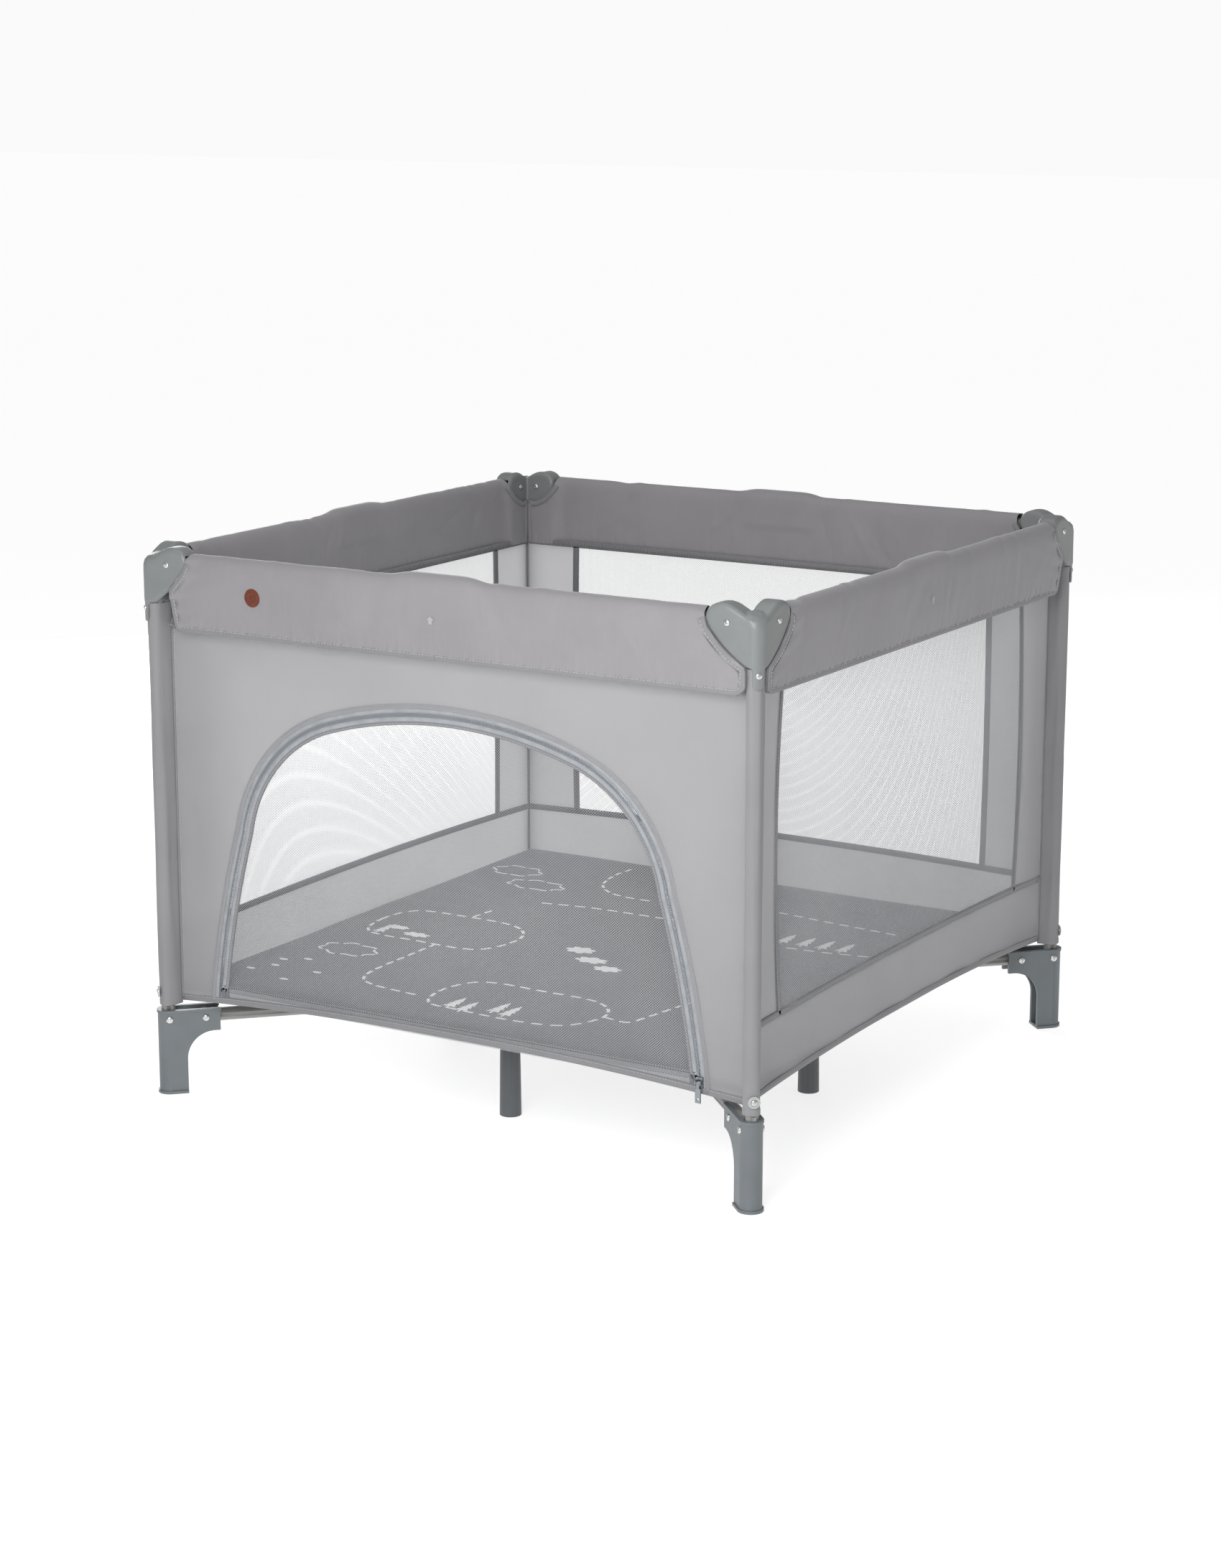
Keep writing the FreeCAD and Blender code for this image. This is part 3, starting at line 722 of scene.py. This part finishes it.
def door():
    """The netting door above its fold, with its binding and its half of the zip."""
    inner = door_arch(DOOR_HINGE)
    inner = inner[inner[:, 1] >= DOOR_HINGE - 0.01]
    _, across = path_frame(inner)
    netting = sew("door_netting", NET_YARN, "mesh_fabric", net(inner + across * 10.5), body="door_flap")
    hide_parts("door_flap")
    fold = resample([(-372, DOOR_HINGE + 2), (372, DOOR_HINGE + 2)], 12)
    for name, material, slot, part in (
            ("binding", BINDING, "mesh_fabric", wall_strip(inner, (8.4, 13.2), (-1.4, 1.4), corner=0.8)),
            ("zip_tape", ZIP_TAPE, "wall_fabric", wall_strip(inner, (2.2, 8.6), (-0.5, 0.9), corner=0.3)),
            ("stitches", THREAD, "wall_fabric", stitches(inner, 1.25, 10.8)),
            ("zip_coil", ZIP_COIL, "zip_metal", zip_teeth(DOOR_HINGE + 1, False, 1)),
            ("fold_seam", BINDING, "mesh_fabric", wall_strip(fold, (-1.0, 1.0), (-0.9, 0.9)))):
        sew("door_" + name, material, slot, part, body="door_flap")


front_side()
for quarter in (1, 2, 3):
    windowed_wall(quarter)


# ---------------------------------------------------------------- sleeves on the posts


def sleeve(quarter):
    """A cloth tube round a post that runs to the corner seam. Built on the post axis, +X inwards."""
    angles = np.radians(np.linspace(58, 302, 40))
    radius = 10.6
    ring = np.stack([radius * np.cos(angles), radius * np.sin(angles)], -1)
    tip = 19.6
    lead = np.linspace(0.12, 0.96, 6)[:, None]
    last = ring[-1] * (1 - lead) + np.array([tip, 0]) * lead
    first = (ring[0] * (1 - lead) + np.array([tip, 0]) * lead)[::-1]
    ring = np.concatenate([first, ring, last, [(tip, 0)]])
    z = np.concatenate([[127, 128, 134, 135.5], np.linspace(140, 676, 90), [681, 682.5, 689, 690]])
    angle = np.arctan2(ring[:, 1], ring[:, 0])[None]
    heights = z[:, None]
    draw = np.random.default_rng(70 + quarter)
    swell = np.zeros((len(z), len(ring)))
    for _ in range(7):
        swell += 0.16 * np.sin(angle * draw.integers(2, 7) + heights * draw.uniform(-0.03, 0.03)
                               + draw.uniform(0, 6.28))
    for _ in range(14):
        at, spot = draw.uniform(140, 670), draw.uniform(-3, 3)
        swell += draw.uniform(0.2, 0.6) * np.exp(-((heights - at) / draw.uniform(10, 50)) ** 2
                                                 - ((angle - spot) / 0.35) ** 2)
    hem = np.where((heights < 134.5) | (heights > 682), 0.55, 0.0)
    scale = 1 + (np.clip(swell, -0.3, 0.9) + hem) / radius
    flat = ring[None] * scale[..., None]
    points = np.stack([flat[..., 0], flat[..., 1], np.broadcast_to(heights, flat.shape[:2])], -1)
    points = points.reshape(-1, 3)
    turn = np.radians(45)
    x, y = points[:, 0].copy(), points[:, 1].copy()
    points[:, 0] = -POST + x * np.cos(turn) - y * np.sin(turn)
    points[:, 1] = -POST + x * np.sin(turn) + y * np.cos(turn)
    corner = OWN_CORNER[quarter]
    made = mesh_object(f"{corner}_sleeve", points, grid_faces(len(z), len(ring), wrap_columns=True),
                       SLEEVE_CLOTH, quarter)
    ride(solidify(made, 1.0), corner + "_corner")


for quarter in range(4):
    sleeve(quarter)


# ---------------------------------------------------------------- rail covers


OUTER_END = ((656, 436), (658, 443.5), (662, 448.5), (668, 452.5), (690, 453), (696, 447), (707, 431),
             (721, 415.5), (737, 402), (750, 396.5), (762, 394))
CUT_END = ((656, 409), (658, 414), (664, 418), (680, 420), (696, 422), (708, 424), (714, 422.5),
           (721, 415.5), (737, 402), (750, 396.5), (762, 394))
INNER_END = ((656, 442.4), (718, 442.4), (722, 428), (730, 411), (742, 399), (751, 393.5), (762, 391))


def outer_end(quarter, end):
    """The outer end line of a cover. At two corners, front left and back right, it stops short of the
    post."""
    return CUT_END if (quarter, end) in ((0, -1), (1, 1), (2, -1), (3, 1)) else OUTER_END


def cover_end(z, inner, outer_line):
    """Where a cover ends along u at a height. Outside it is cut back round the casting's lobe; inside it
    runs on to the corner below the lobe."""
    ends = [np.interp(z, *np.array(line, float).T) for line in (outer_line, INNER_END)]
    return np.where(inner, ends[1], ends[0])


def cover_section():
    """Half-turn of a cover from its outer lower edge over the rail to its inner lower edge, as (w, z)."""
    outer = smooth_curve([(470.5, 657), (472.6, 672), (474.6, 700), (475.6, 728), (474.8, 744),
                          (470.5, 756), (462, 760.6), (455, 759.3), (450.6, 752), (449.2, 738),
                          (449.0, 705), (449.0, 675), (449.5, 657)], steps=6)
    return resample(outer, 3.0)


def inward(u, z, w):
    """How far a cover's inner face stands further in: over the lock, and over the casting's lobe."""
    over_lock = 2.4 * np.exp(-(u / 62) ** 6) * np.clip((z - 706) / 10, 0, 1)
    near = np.clip((u - 376) / 26, 0, 1)
    over_lobe = 6.4 * near**2 * (3 - 2 * near)
    return (over_lock + over_lobe) * np.clip((457 - w) / 6, 0, 1)


def cover_half(quarter, end, rail):
    """One half of a rail's cover, with its bound edge, seam and stitches. end is +1 or -1 along u."""
    side = SIDES[quarter]
    section = cover_section()
    under = resample(np.array([section[-1], (459, 661.5), section[0]]), 4.0)[1:-1]
    ring = np.concatenate([section, under])
    count = len(section)
    columns = 180
    share = np.linspace(0, 1, columns)[:, None]
    z = ring[None, :, 1]
    where = np.arange(len(ring))[None]
    inner = (where > count * 0.5) & (ring[None, :, 0] < 459)
    outer_line = outer_end(quarter, end)
    reach = cover_end(z, inner, outer_line)
    u = share * reach
    w = np.broadcast_to(ring[None, :, 0], u.shape).copy()
    height = np.broadcast_to(z, u.shape).copy()
    outward = np.column_stack([ring[:, 0] - 460, (ring[:, 1] - 712) * 0.35])
    outward /= np.linalg.norm(outward, axis=1)[:, None]
    outer_face = (where < count * 0.45).astype(float)
    seed = 100 + quarter * 2 + (end > 0)
    draw = np.random.default_rng(seed)
    total = creases(u, z, 26, seed, 7, 1.5, (0, 440, 665, 755)) * np.where(outer_face > 0, 0.6, 0.9)
    pucker = np.zeros_like(u)
    for wavelength in (7.3, 11.9, 17.1):
        pucker += 0.4 * np.sin(u * 2 * math.pi / wavelength + draw.uniform(0, 6.28))
    total = total + pucker * np.exp(-np.clip(z - 666, 0, None) / 9) * (where < count)
    total = total + np.exp(-(reach - u) / 22) * 1.3 * np.sin(z * 0.3 + u * 0.1) * outer_face
    bulge = np.exp(-(u / 62) ** 6)
    shoulder = np.clip((z - 732) / 20, 0, 1) * bulge
    total = total * np.clip((z - 655) / 8, 0.15, 1) * np.clip(u / 12, 0, 1) * (1 - 0.8 * shoulder)
    w -= inward(u, z, ring[None, :, 0])
    w += outward[None, :, 0] * total + np.sign(ring[None, :, 0] - 460) * shoulder * 1.6
    height += outward[None, :, 1] * total + shoulder * 5.5
    points = front(u, w, height)
    faces = grid_faces(columns, len(ring), wrap_columns=True, flip=True)

    def ride_rail(piece, slot):
        ride(piece, f"{side}_rail_{rail}")
        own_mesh(piece)

    mirror = end < 0
    shell = mesh_object(f"{side}_cover_{rail}", points, faces, COVER_CLOTH, quarter, mirror=mirror)
    solidify(shell, 1.0)
    ride_rail(shell, "cover_fabric")
    if end > 0:
        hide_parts(side + "_rail_cover")

    # The edge tape: along the lower edge, round the corner, and up beside the casting.
    middle = int(count * 0.5)
    faces_of_cover = ((outer_line, section[:middle], 1), (INNER_END, section[middle:][::-1], -1))
    trims = Bundle()
    for line, slope, way in faces_of_cover:
        line = np.array(line, float)[:, ::-1]
        edge = smooth_curve(line[:-1], steps=6)
        if way > 0:
            edge = np.concatenate([[(0, COVER_LOW)], edge])
        edge = resample(edge, 3.0)
        plane = np.interp(edge[:, 1], slope[:, 1], slope[:, 0])
        plane = plane - inward(edge[:, 0], edge[:, 1], plane)
        heights = (-0.6, 1.6) if way > 0 else (-1.6, 0.6)
        trims.add(*wall_strip(edge, (0, 8), heights, plane, 0.7))
        if way > 0:
            trims.add(*wall_strip(edge, (9.4, 10.8), (-0.6, 1.0), plane, 0.4))
            beside = edge[:, 0] > 380
            trims.add(*wall_strip(edge[beside], (0, 1.4), (-8, 0), plane[beside], 0.3))
            thread = stitches(edge, 1.5, 6.4, 1.8, 0.8, plane)
    rim = trims.object(f"{side}_cover_edge_{rail}", BINDING, quarter, mirror=mirror)
    ride_rail(rim, "cover_fabric")
    sewn = mesh_object(f"{side}_cover_stitches_{rail}", *thread, THREAD, quarter, mirror=mirror, smooth=False)
    ride_rail(sewn, "cover_fabric")
    return ride_rail


riders = {}
for quarter in range(4):
    for end, rail in zip((-1, 1), RAIL_ENDS[quarter]):
        riders[quarter, end] = cover_half(quarter, end, rail)


def leather_tag():
    """A round leather tag with a pressed rim and a plain ring in its middle."""
    rings = [(0, 2.2), (3.0, 2.2), (3.6, 1.7), (4.6, 1.7), (5.2, 2.2), (9.6, 2.3), (10.1, 1.9), (10.7, 2.2),
             (11.7, 2.1), (12.2, 1.5), (12.2, -0.5)]
    spokes = 64
    x, z, lift = around(rings, spokes).T
    faces = flipped(tube_faces(len(rings), spokes))
    tag = mesh_object("leather_tag", front(-285 + x, 474.9 + lift, 713 + z), faces, LEATHER)
    riders[0, -1](tag, "strap_web")


def arrow(quarter):
    """A small printed arrow over the release button."""
    shape = [(-2.6, -5), (2.6, -5), (2.6, 0), (5.5, 0), (0, 5.5), (-5.5, 0), (-2.6, 0)]
    points = [front(-2 + x, depth, 709 + z)[0] for depth in (475.2, 476.7) for x, z in shape]
    piece = mesh_object(f"{SIDES[quarter]}_cover_arrow", points, tube_faces(2, len(shape)), FAINT_PRINT,
                        quarter, smooth=False)
    riders[quarter, 1](piece, "mat_fabric")


leather_tag()
for quarter in (0, 1):
    arrow(quarter)


# ---------------------------------------------------------------- castings and screws


def boolean(piece, tool):
    """Cut a tool's shape out of a piece, and drop the tool."""
    cutter = piece.modifiers.new("cut", "BOOLEAN")
    cutter.object = tool
    cutter.solver = "EXACT"
    apply_modifiers(piece)
    bpy.data.objects.remove(tool)


def bare_mesh(piece, material, angle):
    """A piece's mesh in one material, with edges sharp above an angle in degrees. The piece is dropped."""
    mesh = piece.data
    mesh.materials.clear()
    mesh.materials.append(material)
    mesh.polygons.foreach_set("use_smooth", [True] * len(mesh.polygons))
    mesh.polygons.foreach_set("material_index", [0] * len(mesh.polygons))
    sharpen(mesh, angle)
    bpy.data.objects.remove(piece)
    return mesh


def prism(outline, low, high, axis):
    """A closed prism over an outline of (a, z) points between two values on the other axis."""
    a, z = np.array(outline, float).T
    sheets = []
    for value in (low, high):
        other = np.full(len(a), float(value))
        sheets.append(np.stack([a, other, z] if axis == "x" else [other, a, z], -1))
    return np.concatenate(sheets), flipped(tube_faces(2, len(a)))


def casting_mesh():
    """The corner casting on the post axis, with a lobe along +X and one along +Y."""
    lobe = smooth_curve([(0, 690), (9, 692), (17, 696.5), (32, 708), (46, 721), (58.5, 736), (63.6, 749),
                         (61, 759), (54, 765.5), (43, 768.5), (31, 767.5), (19, 762), (7, 755.5), (-5, 749.5),
                         (-8, 725), (-6, 692)], closed=True, steps=5)
    body = Bundle()
    _, across = path_frame(np.concatenate([lobe, lobe[:1]]))
    for axis in (0, 1):
        rings = []
        for other, inset in ((-15, 6), (-14.2, 3.2), (-12.6, 1.2), (-10, 0), (10, 0), (12.6, 1.2),
                             (14.2, 3.2), (15, 6)):
            ring = lobe + across[:-1] * inset
            plan = (ring[:, 0], np.full(len(ring), float(other)))
            rings.append(np.stack([plan[axis], plan[1 - axis], ring[:, 1]], -1))
        faces = tube_faces(len(rings), len(lobe))
        body.add(np.concatenate(rings), flipped(faces) if axis else faces)
    spokes = 48
    rings = [(11.0, 691.0), (14.6, 692.5), (15, 695), (15, 747), (13.2, 753.5), (9, 757)]
    core = around(rings, spokes)
    slope = 0.25          # how the top falls towards the corner's outside
    core[:, 2] += slope * (core[:, 2] > 700) * (core[:, 0] + core[:, 1])
    body.add(core, tube_faces(len(rings), spokes))
    # The tongue down the post's outer side, narrowed towards its tip.
    columns, middle = 13, math.radians(225)
    spread = np.radians(np.linspace(-38, 38, columns))
    levels = ((665.0, 0.35), (666.2, 0.62), (668.5, 0.85), (672, 0.97), (680, 1), (690, 1), (700, 1))
    tongue = []
    for radius in (11.0, 14.4):
        for z, share in levels:
            angle = middle + spread * share
            tongue.append(np.stack([radius * np.cos(angle), radius * np.sin(angle), np.full(columns, z)], -1))
    body.add(np.concatenate(tongue), slab_faces(len(levels), columns))
    body = body.object("casting", CASTING)
    remesh = body.modifiers.new("remesh", "REMESH")
    remesh.mode, remesh.voxel_size, remesh.use_smooth_shade = "VOXEL", 1.3 * MM, True
    soften = body.modifiers.new("soften", "SMOOTH")
    soften.factor, soften.iterations = 0.6, 8
    apply_modifiers(body)
    # Rooms for the rails, open below and inwards, and the socket for the post.
    for axis in ("x", "y"):
        room = [(17.5, 682), (90, 682), (90, 756), (52, 759), (30, 759), (17.5, 755)]
        boolean(body, mesh_object("room", *prism(room, -10.6, 10.6, axis), DARK))
    socket = around([(9.9, 680), (9.9, 742)], spokes)
    boolean(body, mesh_object("socket", socket, tube_faces(2, spokes), DARK))
    return bare_mesh(body, CASTING, 38)


def screw_head():
    """A domed head with a cross recess, its seat on z = 0 and +Z outwards, in metres."""
    spokes = 40
    rings = [(5.0, -0.6), (5.0, 0.5), (4.7, 1.1), (4.0, 1.7), (2.8, 2.2), (1.4, 2.45)]
    head = mesh_object("head", around(rings, spokes), tube_faces(len(rings), spokes), SCREW)
    for long, wide in ((2.3, 0.5), (0.5, 2.3)):
        outline = [(-long, 1.1), (long, 1.1), (long, 3.2), (-long, 3.2)]
        boolean(head, mesh_object("recess", *prism(outline, -wide, wide, "x"), SCREW))
    return bare_mesh(head, SCREW, 35)


def joined(name, meshes, material):
    """One object from several placed copies of meshes, each given with its matrix in metres."""
    points, faces, count = [], [], 0
    for mesh, matrix in meshes:
        place = np.array([matrix @ vertex.co for vertex in mesh.vertices])
        points.append(place)
        faces += [tuple(index + count for index in polygon.vertices) for polygon in mesh.polygons]
        count += len(place)
    made = mesh_object(name, np.concatenate(points) / MM, faces, material)
    sharpen(made.data, 35)
    return made


def facing(point, direction):
    """The matrix that brings a head's seat to a point in millimetres, looking along a direction."""
    turn = Vector(direction).to_track_quat("Z", "Y").to_matrix().to_4x4()
    return Matrix.Translation(Vector(point) * MM) @ turn


def ring_mesh(name, inner, outer, thickness, material):
    """A flat ring with eased edges, +Z outwards."""
    spokes, eased = 40, thickness * 0.7
    rings = [(inner, 0), (outer, 0), (outer, eased), (outer - 0.5, thickness), (inner + 0.5, thickness),
             (inner, eased)]
    faces = grid_faces(len(rings), spokes, wrap_columns=True, wrap_rows=True)
    piece = mesh_object(name, around(rings, spokes), faces, material)
    mesh = piece.data
    bpy.data.objects.remove(piece)
    return mesh


casting = casting_mesh()
head = screw_head()
washer = ring_mesh("washer", 4.0, 8.0, 1.6, WASHER)
shank_rod = ring_mesh("shank", 0.4, 3.0, 30.0, SCREW)
diagonal = Matrix.Rotation(math.pi / 4, 4, "Z")
small = Matrix.Scale(0.82, 4)
rail_reach, rail_height = RAIL_PIVOT
for quarter in range(4):
    corner = OWN_CORNER[quarter]
    to_corner = quarter_turn(quarter) @ Matrix.Translation((-POST * MM, -POST * MM, 0))
    shell = bpy.data.objects.new(corner + "_casting_shell", casting.copy())
    shell.data.transform(to_corner)
    bpy.context.scene.collection.objects.link(shell)
    ride(shell, corner + "_corner")
    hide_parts(corner + "_casting")
    # Two screws through the foot and one through each rail's pivot, with a head on both sides.
    bolts = [(diagonal, x, ARM_PIVOT, Matrix()) for x in (0, 50)]
    bolts += [(Matrix.Rotation(turn, 4, "Z"), rail_reach, rail_height, small) for turn in (0, math.pi / 2)]
    heads = []
    for swing, x, z, scale in bolts:
        for side in (-1, 1):
            heads.append((head, to_corner @ swing @ facing((x, side * 15, z), (0, side, 0)) @ scale))
        heads.append((shank_rod, to_corner @ swing @ facing((x, -15, z), (0, 1, 0))))
    # One in the casting's tongue, and one with a washer in the sleeve.
    for x, z in ((-14.2, 683), (-13.6, 145)):
        heads.append((head, to_corner @ diagonal @ facing((x, 0, z), (-1, 0, 0)) @ small))
    screws = joined(corner + "_screws", heads, SCREW)
    ride(screws, corner + "_corner")
    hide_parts(corner + "_fasteners")
    seat = to_corner @ diagonal @ facing((-11.9, 0, 145), (-1, 0, 0))
    ride(joined(corner + "_washer", [(washer, seat)], WASHER), corner + "_corner")


# ---------------------------------------------------------------- mat, floor cloth and strap


def triangle_grid(half, level, count, lift):
    """The front quarter of a square as a fan grid from the centre, with a height given by lift(x, y)."""
    rows = np.linspace(0.004, 1, count)
    spread = np.linspace(-1, 1, 2 * count)
    reach = rows[:, None] * half
    x = reach * spread[None]
    y = -np.broadcast_to(reach, x.shape)
    return np.stack([x, y, level + lift(x, y)], -1).reshape(-1, 3)


def closed_slab(half, low, high, count, top_lift, low_lift):
    """Points and faces of a quarter between two heights, each with its own lift."""
    top = triangle_grid(half, high, count, top_lift)
    bottom = triangle_grid(half, low, count, low_lift)
    return np.concatenate([top, bottom]), flipped(slab_faces(count, 2 * count))


def level(x, y):
    return 0 * x


def mat_rise(x, y):
    """How the mat's underside rises along its edge."""
    return 1.5 * np.exp(-(MAT_HALF - np.abs(y)) / 4)


def mat_height(x, y):
    """The mat's top: padded, rounded down to its seam at the edge, a little uneven."""
    ring, along = np.maximum(np.abs(x), np.abs(y)), np.minimum(np.abs(x), np.abs(y))
    fall = -5.5 * np.exp(-np.clip(MAT_HALF - ring, 0, None) / 5.5)
    return fall + 0.45 * np.sin(ring * 0.029 + 1) * np.cos(along * 0.019) - 0.4


def ride_floor(piece, quarter):
    """A floor piece rides on its side's support arm."""
    ride(piece, SIDES[quarter] + "_support_arm")
    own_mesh(piece)


for quarter in range(4):
    slab = closed_slab(MAT_HALF, MAT_LOW, MAT_TOP, 70, mat_height, mat_rise)
    pad = mesh_object(f"mat_{SIDES[quarter]}", *slab, MAT_CLOTH, quarter)
    sharpen(pad.data, 50)
    ride_floor(pad, quarter)
    slab = closed_slab(445.6, 145.6, 146.9, 24, level, level)
    lining = mesh_object(f"floor_cloth_{SIDES[quarter]}", *slab, WALL_CLOTH, quarter)
    sharpen(lining.data, 50)
    ride_floor(lining, quarter)
    if quarter == 0:
        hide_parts("floor_mat")
        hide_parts("floor_sheet")

# The print on the mat: roads as dashes, ponds, bushes and trees, each dash on the quarter it lies in.
ROADS = (
    ([(-385, -50), (-365, 15), (-280, 22), (-190, 12), (-152, -40), (-172, -118), (-270, -124),
      (-360, -118)], True),
    ([(-240, -124), (-240, -190), (-235, -300), (-200, -340), (-105, -352)], False),
    ([(-85, -370), (-102, -310), (-75, -252), (20, -248), (110, -252), (152, -300), (130, -365),
      (60, -382), (-30, -378)], True),
    ([(154, -307), (192, -312), (202, -275), (213, -215), (226, -170)], False),
    ([(-232, 148), (-150, 160), (-20, 165), (110, 170)], False),
    ([(-220, 390), (-222, 340), (-205, 280), (-160, 246), (-90, 240)], False),
    ([(100, 282), (200, 270), (330, 256)], False),
    ([(200, 118), (260, 124), (350, 138)], False),
    ([(-275, 26), (-270, 81)], False),
)
PONDS = ((-330, -212, 44, 27, 7), (-368, 292, 40, 26, 6), (-296, 232, 46, 24, 7))
BUSHES = ((-44, -46, 20, 13), (-4, -82, 22, 12), (38, -108, 19, 11), (-338, -78, 17, 8), (-292, -98, 19, 9))
TREES = ((-52, -352), (-28, -360), (12, -342), (34, -348), (180, 160), (212, 160), (243, 160), (275, 160),
         (-350, -92))
FIR = ((1.5, -26), (1.5, -17), (10, -20), (4, -5), (8.5, -7), (3.2, 7), (6.5, 5), (0, 26))
DOTS = ((-392, -360), (-372, -330), (-380, -300), (-350, -282), (-300, -330), (-320, -380))


def flat_shape(outline):
    """A thin closed plate over an outline of (x, y) points that lies on the mat."""
    base = MAT_TOP + mat_height(outline[:, 0], outline[:, 1])
    low, high = (np.column_stack([outline, base + lift]) for lift in (-0.25, 0.3))
    return np.concatenate([low, high]), tube_faces(2, len(outline))


def thick_line(curve, width):
    """A closed outline that follows an open curve at half a width on both sides."""
    _, across = path_frame(curve)
    half = across * width / 2
    return np.concatenate([curve + half, (curve - half)[::-1]])


def oval(x, y, rx, ry, angle, ripples=1.0):
    return np.stack([x + rx * ripples * np.cos(angle), y + ry * ripples * np.sin(angle)], -1)


printed = [Bundle() for _ in range(4)]


def print_shape(outline):
    """Add a shape to the print, turned back into the frame of the quarter that it lies in."""
    outline = np.asarray(outline, float)
    area = np.sum(outline[:, 0] * np.roll(outline[:, 1], -1) - outline[:, 1] * np.roll(outline[:, 0], -1))
    if area < 0:
        outline = outline[::-1]
    x, y = outline.mean(axis=0)
    quarter = (0 if y < 0 else 2) if abs(y) > abs(x) else (1 if x > 0 else 3)
    points, faces = flat_shape(outline)
    a = -quarter * math.pi / 2
    back = np.array([[math.cos(a), math.sin(a), 0], [-math.sin(a), math.cos(a), 0], [0, 0, 1]])
    printed[quarter].add(points @ back, faces)


for points, closed in ROADS:
    curve = smooth_curve(points, closed, 12)
    if closed:
        curve = np.concatenate([curve, curve[:1]])
    curve = resample(curve, 1.0)
    for start in range(0, len(curve) - 16, 27):
        print_shape(thick_line(curve[start:start + 17:2], 4.4))
for x, y, rx, ry, lobes in PONDS:
    angle = np.linspace(0, 2 * math.pi, 72)
    ring = oval(x, y, rx, ry, angle, 1 + 0.09 * np.cos(angle * lobes))
    for start in range(0, 72, 9):
        print_shape(thick_line(ring[start:start + 8], 3.4))
for x, y, rx, ry in BUSHES:
    angle = np.linspace(0, 2 * math.pi, 60, endpoint=False)
    print_shape(oval(x, y, rx, ry, angle, 0.78 + 0.42 * np.abs(np.sin(angle * 3.5 + x))))
for x, y in TREES:
    print_shape([(x + side * wide, y + up) for side, wide, up in
                 [(1, *step) for step in FIR] + [(-1, *step) for step in FIR[-2::-1]]])
for x, y in DOTS:
    angle = np.linspace(0, 2 * math.pi, 16, endpoint=False)
    print_shape(oval(x, y, 7, 3.6, angle))
for quarter in range(4):
    piece = printed[quarter].object(f"mat_print_{SIDES[quarter]}", PRINT, quarter, smooth=False)
    ride_floor(piece, quarter)

strap_x = np.linspace(-30, 30, 31)
strap_z = 143.4 + 0.9 * np.cos(strap_x / 30 * math.pi / 2)
strap_path = np.stack([strap_x, 0 * strap_x, strap_z], -1)
points, faces = sweep(strap_path, np.tile((0.0, 1.0, 0.0), (31, 1)), np.tile((0.0, 0.0, 1.0), (31, 1)),
                      flat_profile(-12.5, 12.5, -1.0, 0.6, 0.4))
strap = mesh_object("hub_strap", points, faces, WEB)
ride(strap, "hub")
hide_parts("pull_strap")


# ---------------------------------------------------------------- CAD nodes that stay


def dress(node, material, bevel=0.8):
    """A better material and eased edges on a CAD node."""
    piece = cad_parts[node]
    piece.data.materials.clear()
    piece.data.materials.append(material)
    weld = piece.modifiers.new("weld", "WELD")
    weld.merge_threshold = 1e-5
    if bevel:
        flat = piece.modifiers.new("flat", "DECIMATE")
        flat.decimate_type = "DISSOLVE"
        flat.angle_limit = math.radians(1)
        ease = piece.modifiers.new("ease", "BEVEL")
        ease.width, ease.segments = bevel * MM, 2
        ease.limit_method, ease.angle_limit = "ANGLE", math.radians(40)
        ease.use_clamp_overlap = True


# Endings of the nodes' names, their material and bevel. The first that fits a name counts.
FINISHES = (
    (("_post",), TUBE, 0), (("_foot",), FOOT, 0.9), (("support_arm",), DARK, 0),
    (("_arm", "_rail_left", "_rail_right", "_rail_front", "_rail_back"), TUBE, 0),
    (("support_leg", "hub"), DARK, 0.8), (("_lock",), LOCK, 0.8), (("_lock_button",), DARK, 0.6),
    (("hub_pins",), SCREW, 0), (("zip_slider",), ZIP_METAL, 0.5), (("zip_pull",), ZIP_METAL, 0.4),
)
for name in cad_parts:
    for endings, material, bevel in FINISHES:
        if name.endswith(endings):
            dress(name, material, bevel)
            break


# ---------------------------------------------------------------- floor


floor_finish = Finish("floor", (188, 188, 188), 0.8)
floor_finish.vary_colour(floor_finish.noise(1.2, 2), 0.995, 1.0)
floor_finish.shader.inputs["Emission Color"].default_value = (1, 1, 1, 1)
floor_finish.shader.inputs["Emission Strength"].default_value = 0.74
bpy.ops.mesh.primitive_plane_add(size=60, location=(0, 0, 0))
floor = bpy.context.object
floor.name = "floor"
floor.data.materials.append(floor_finish.material)
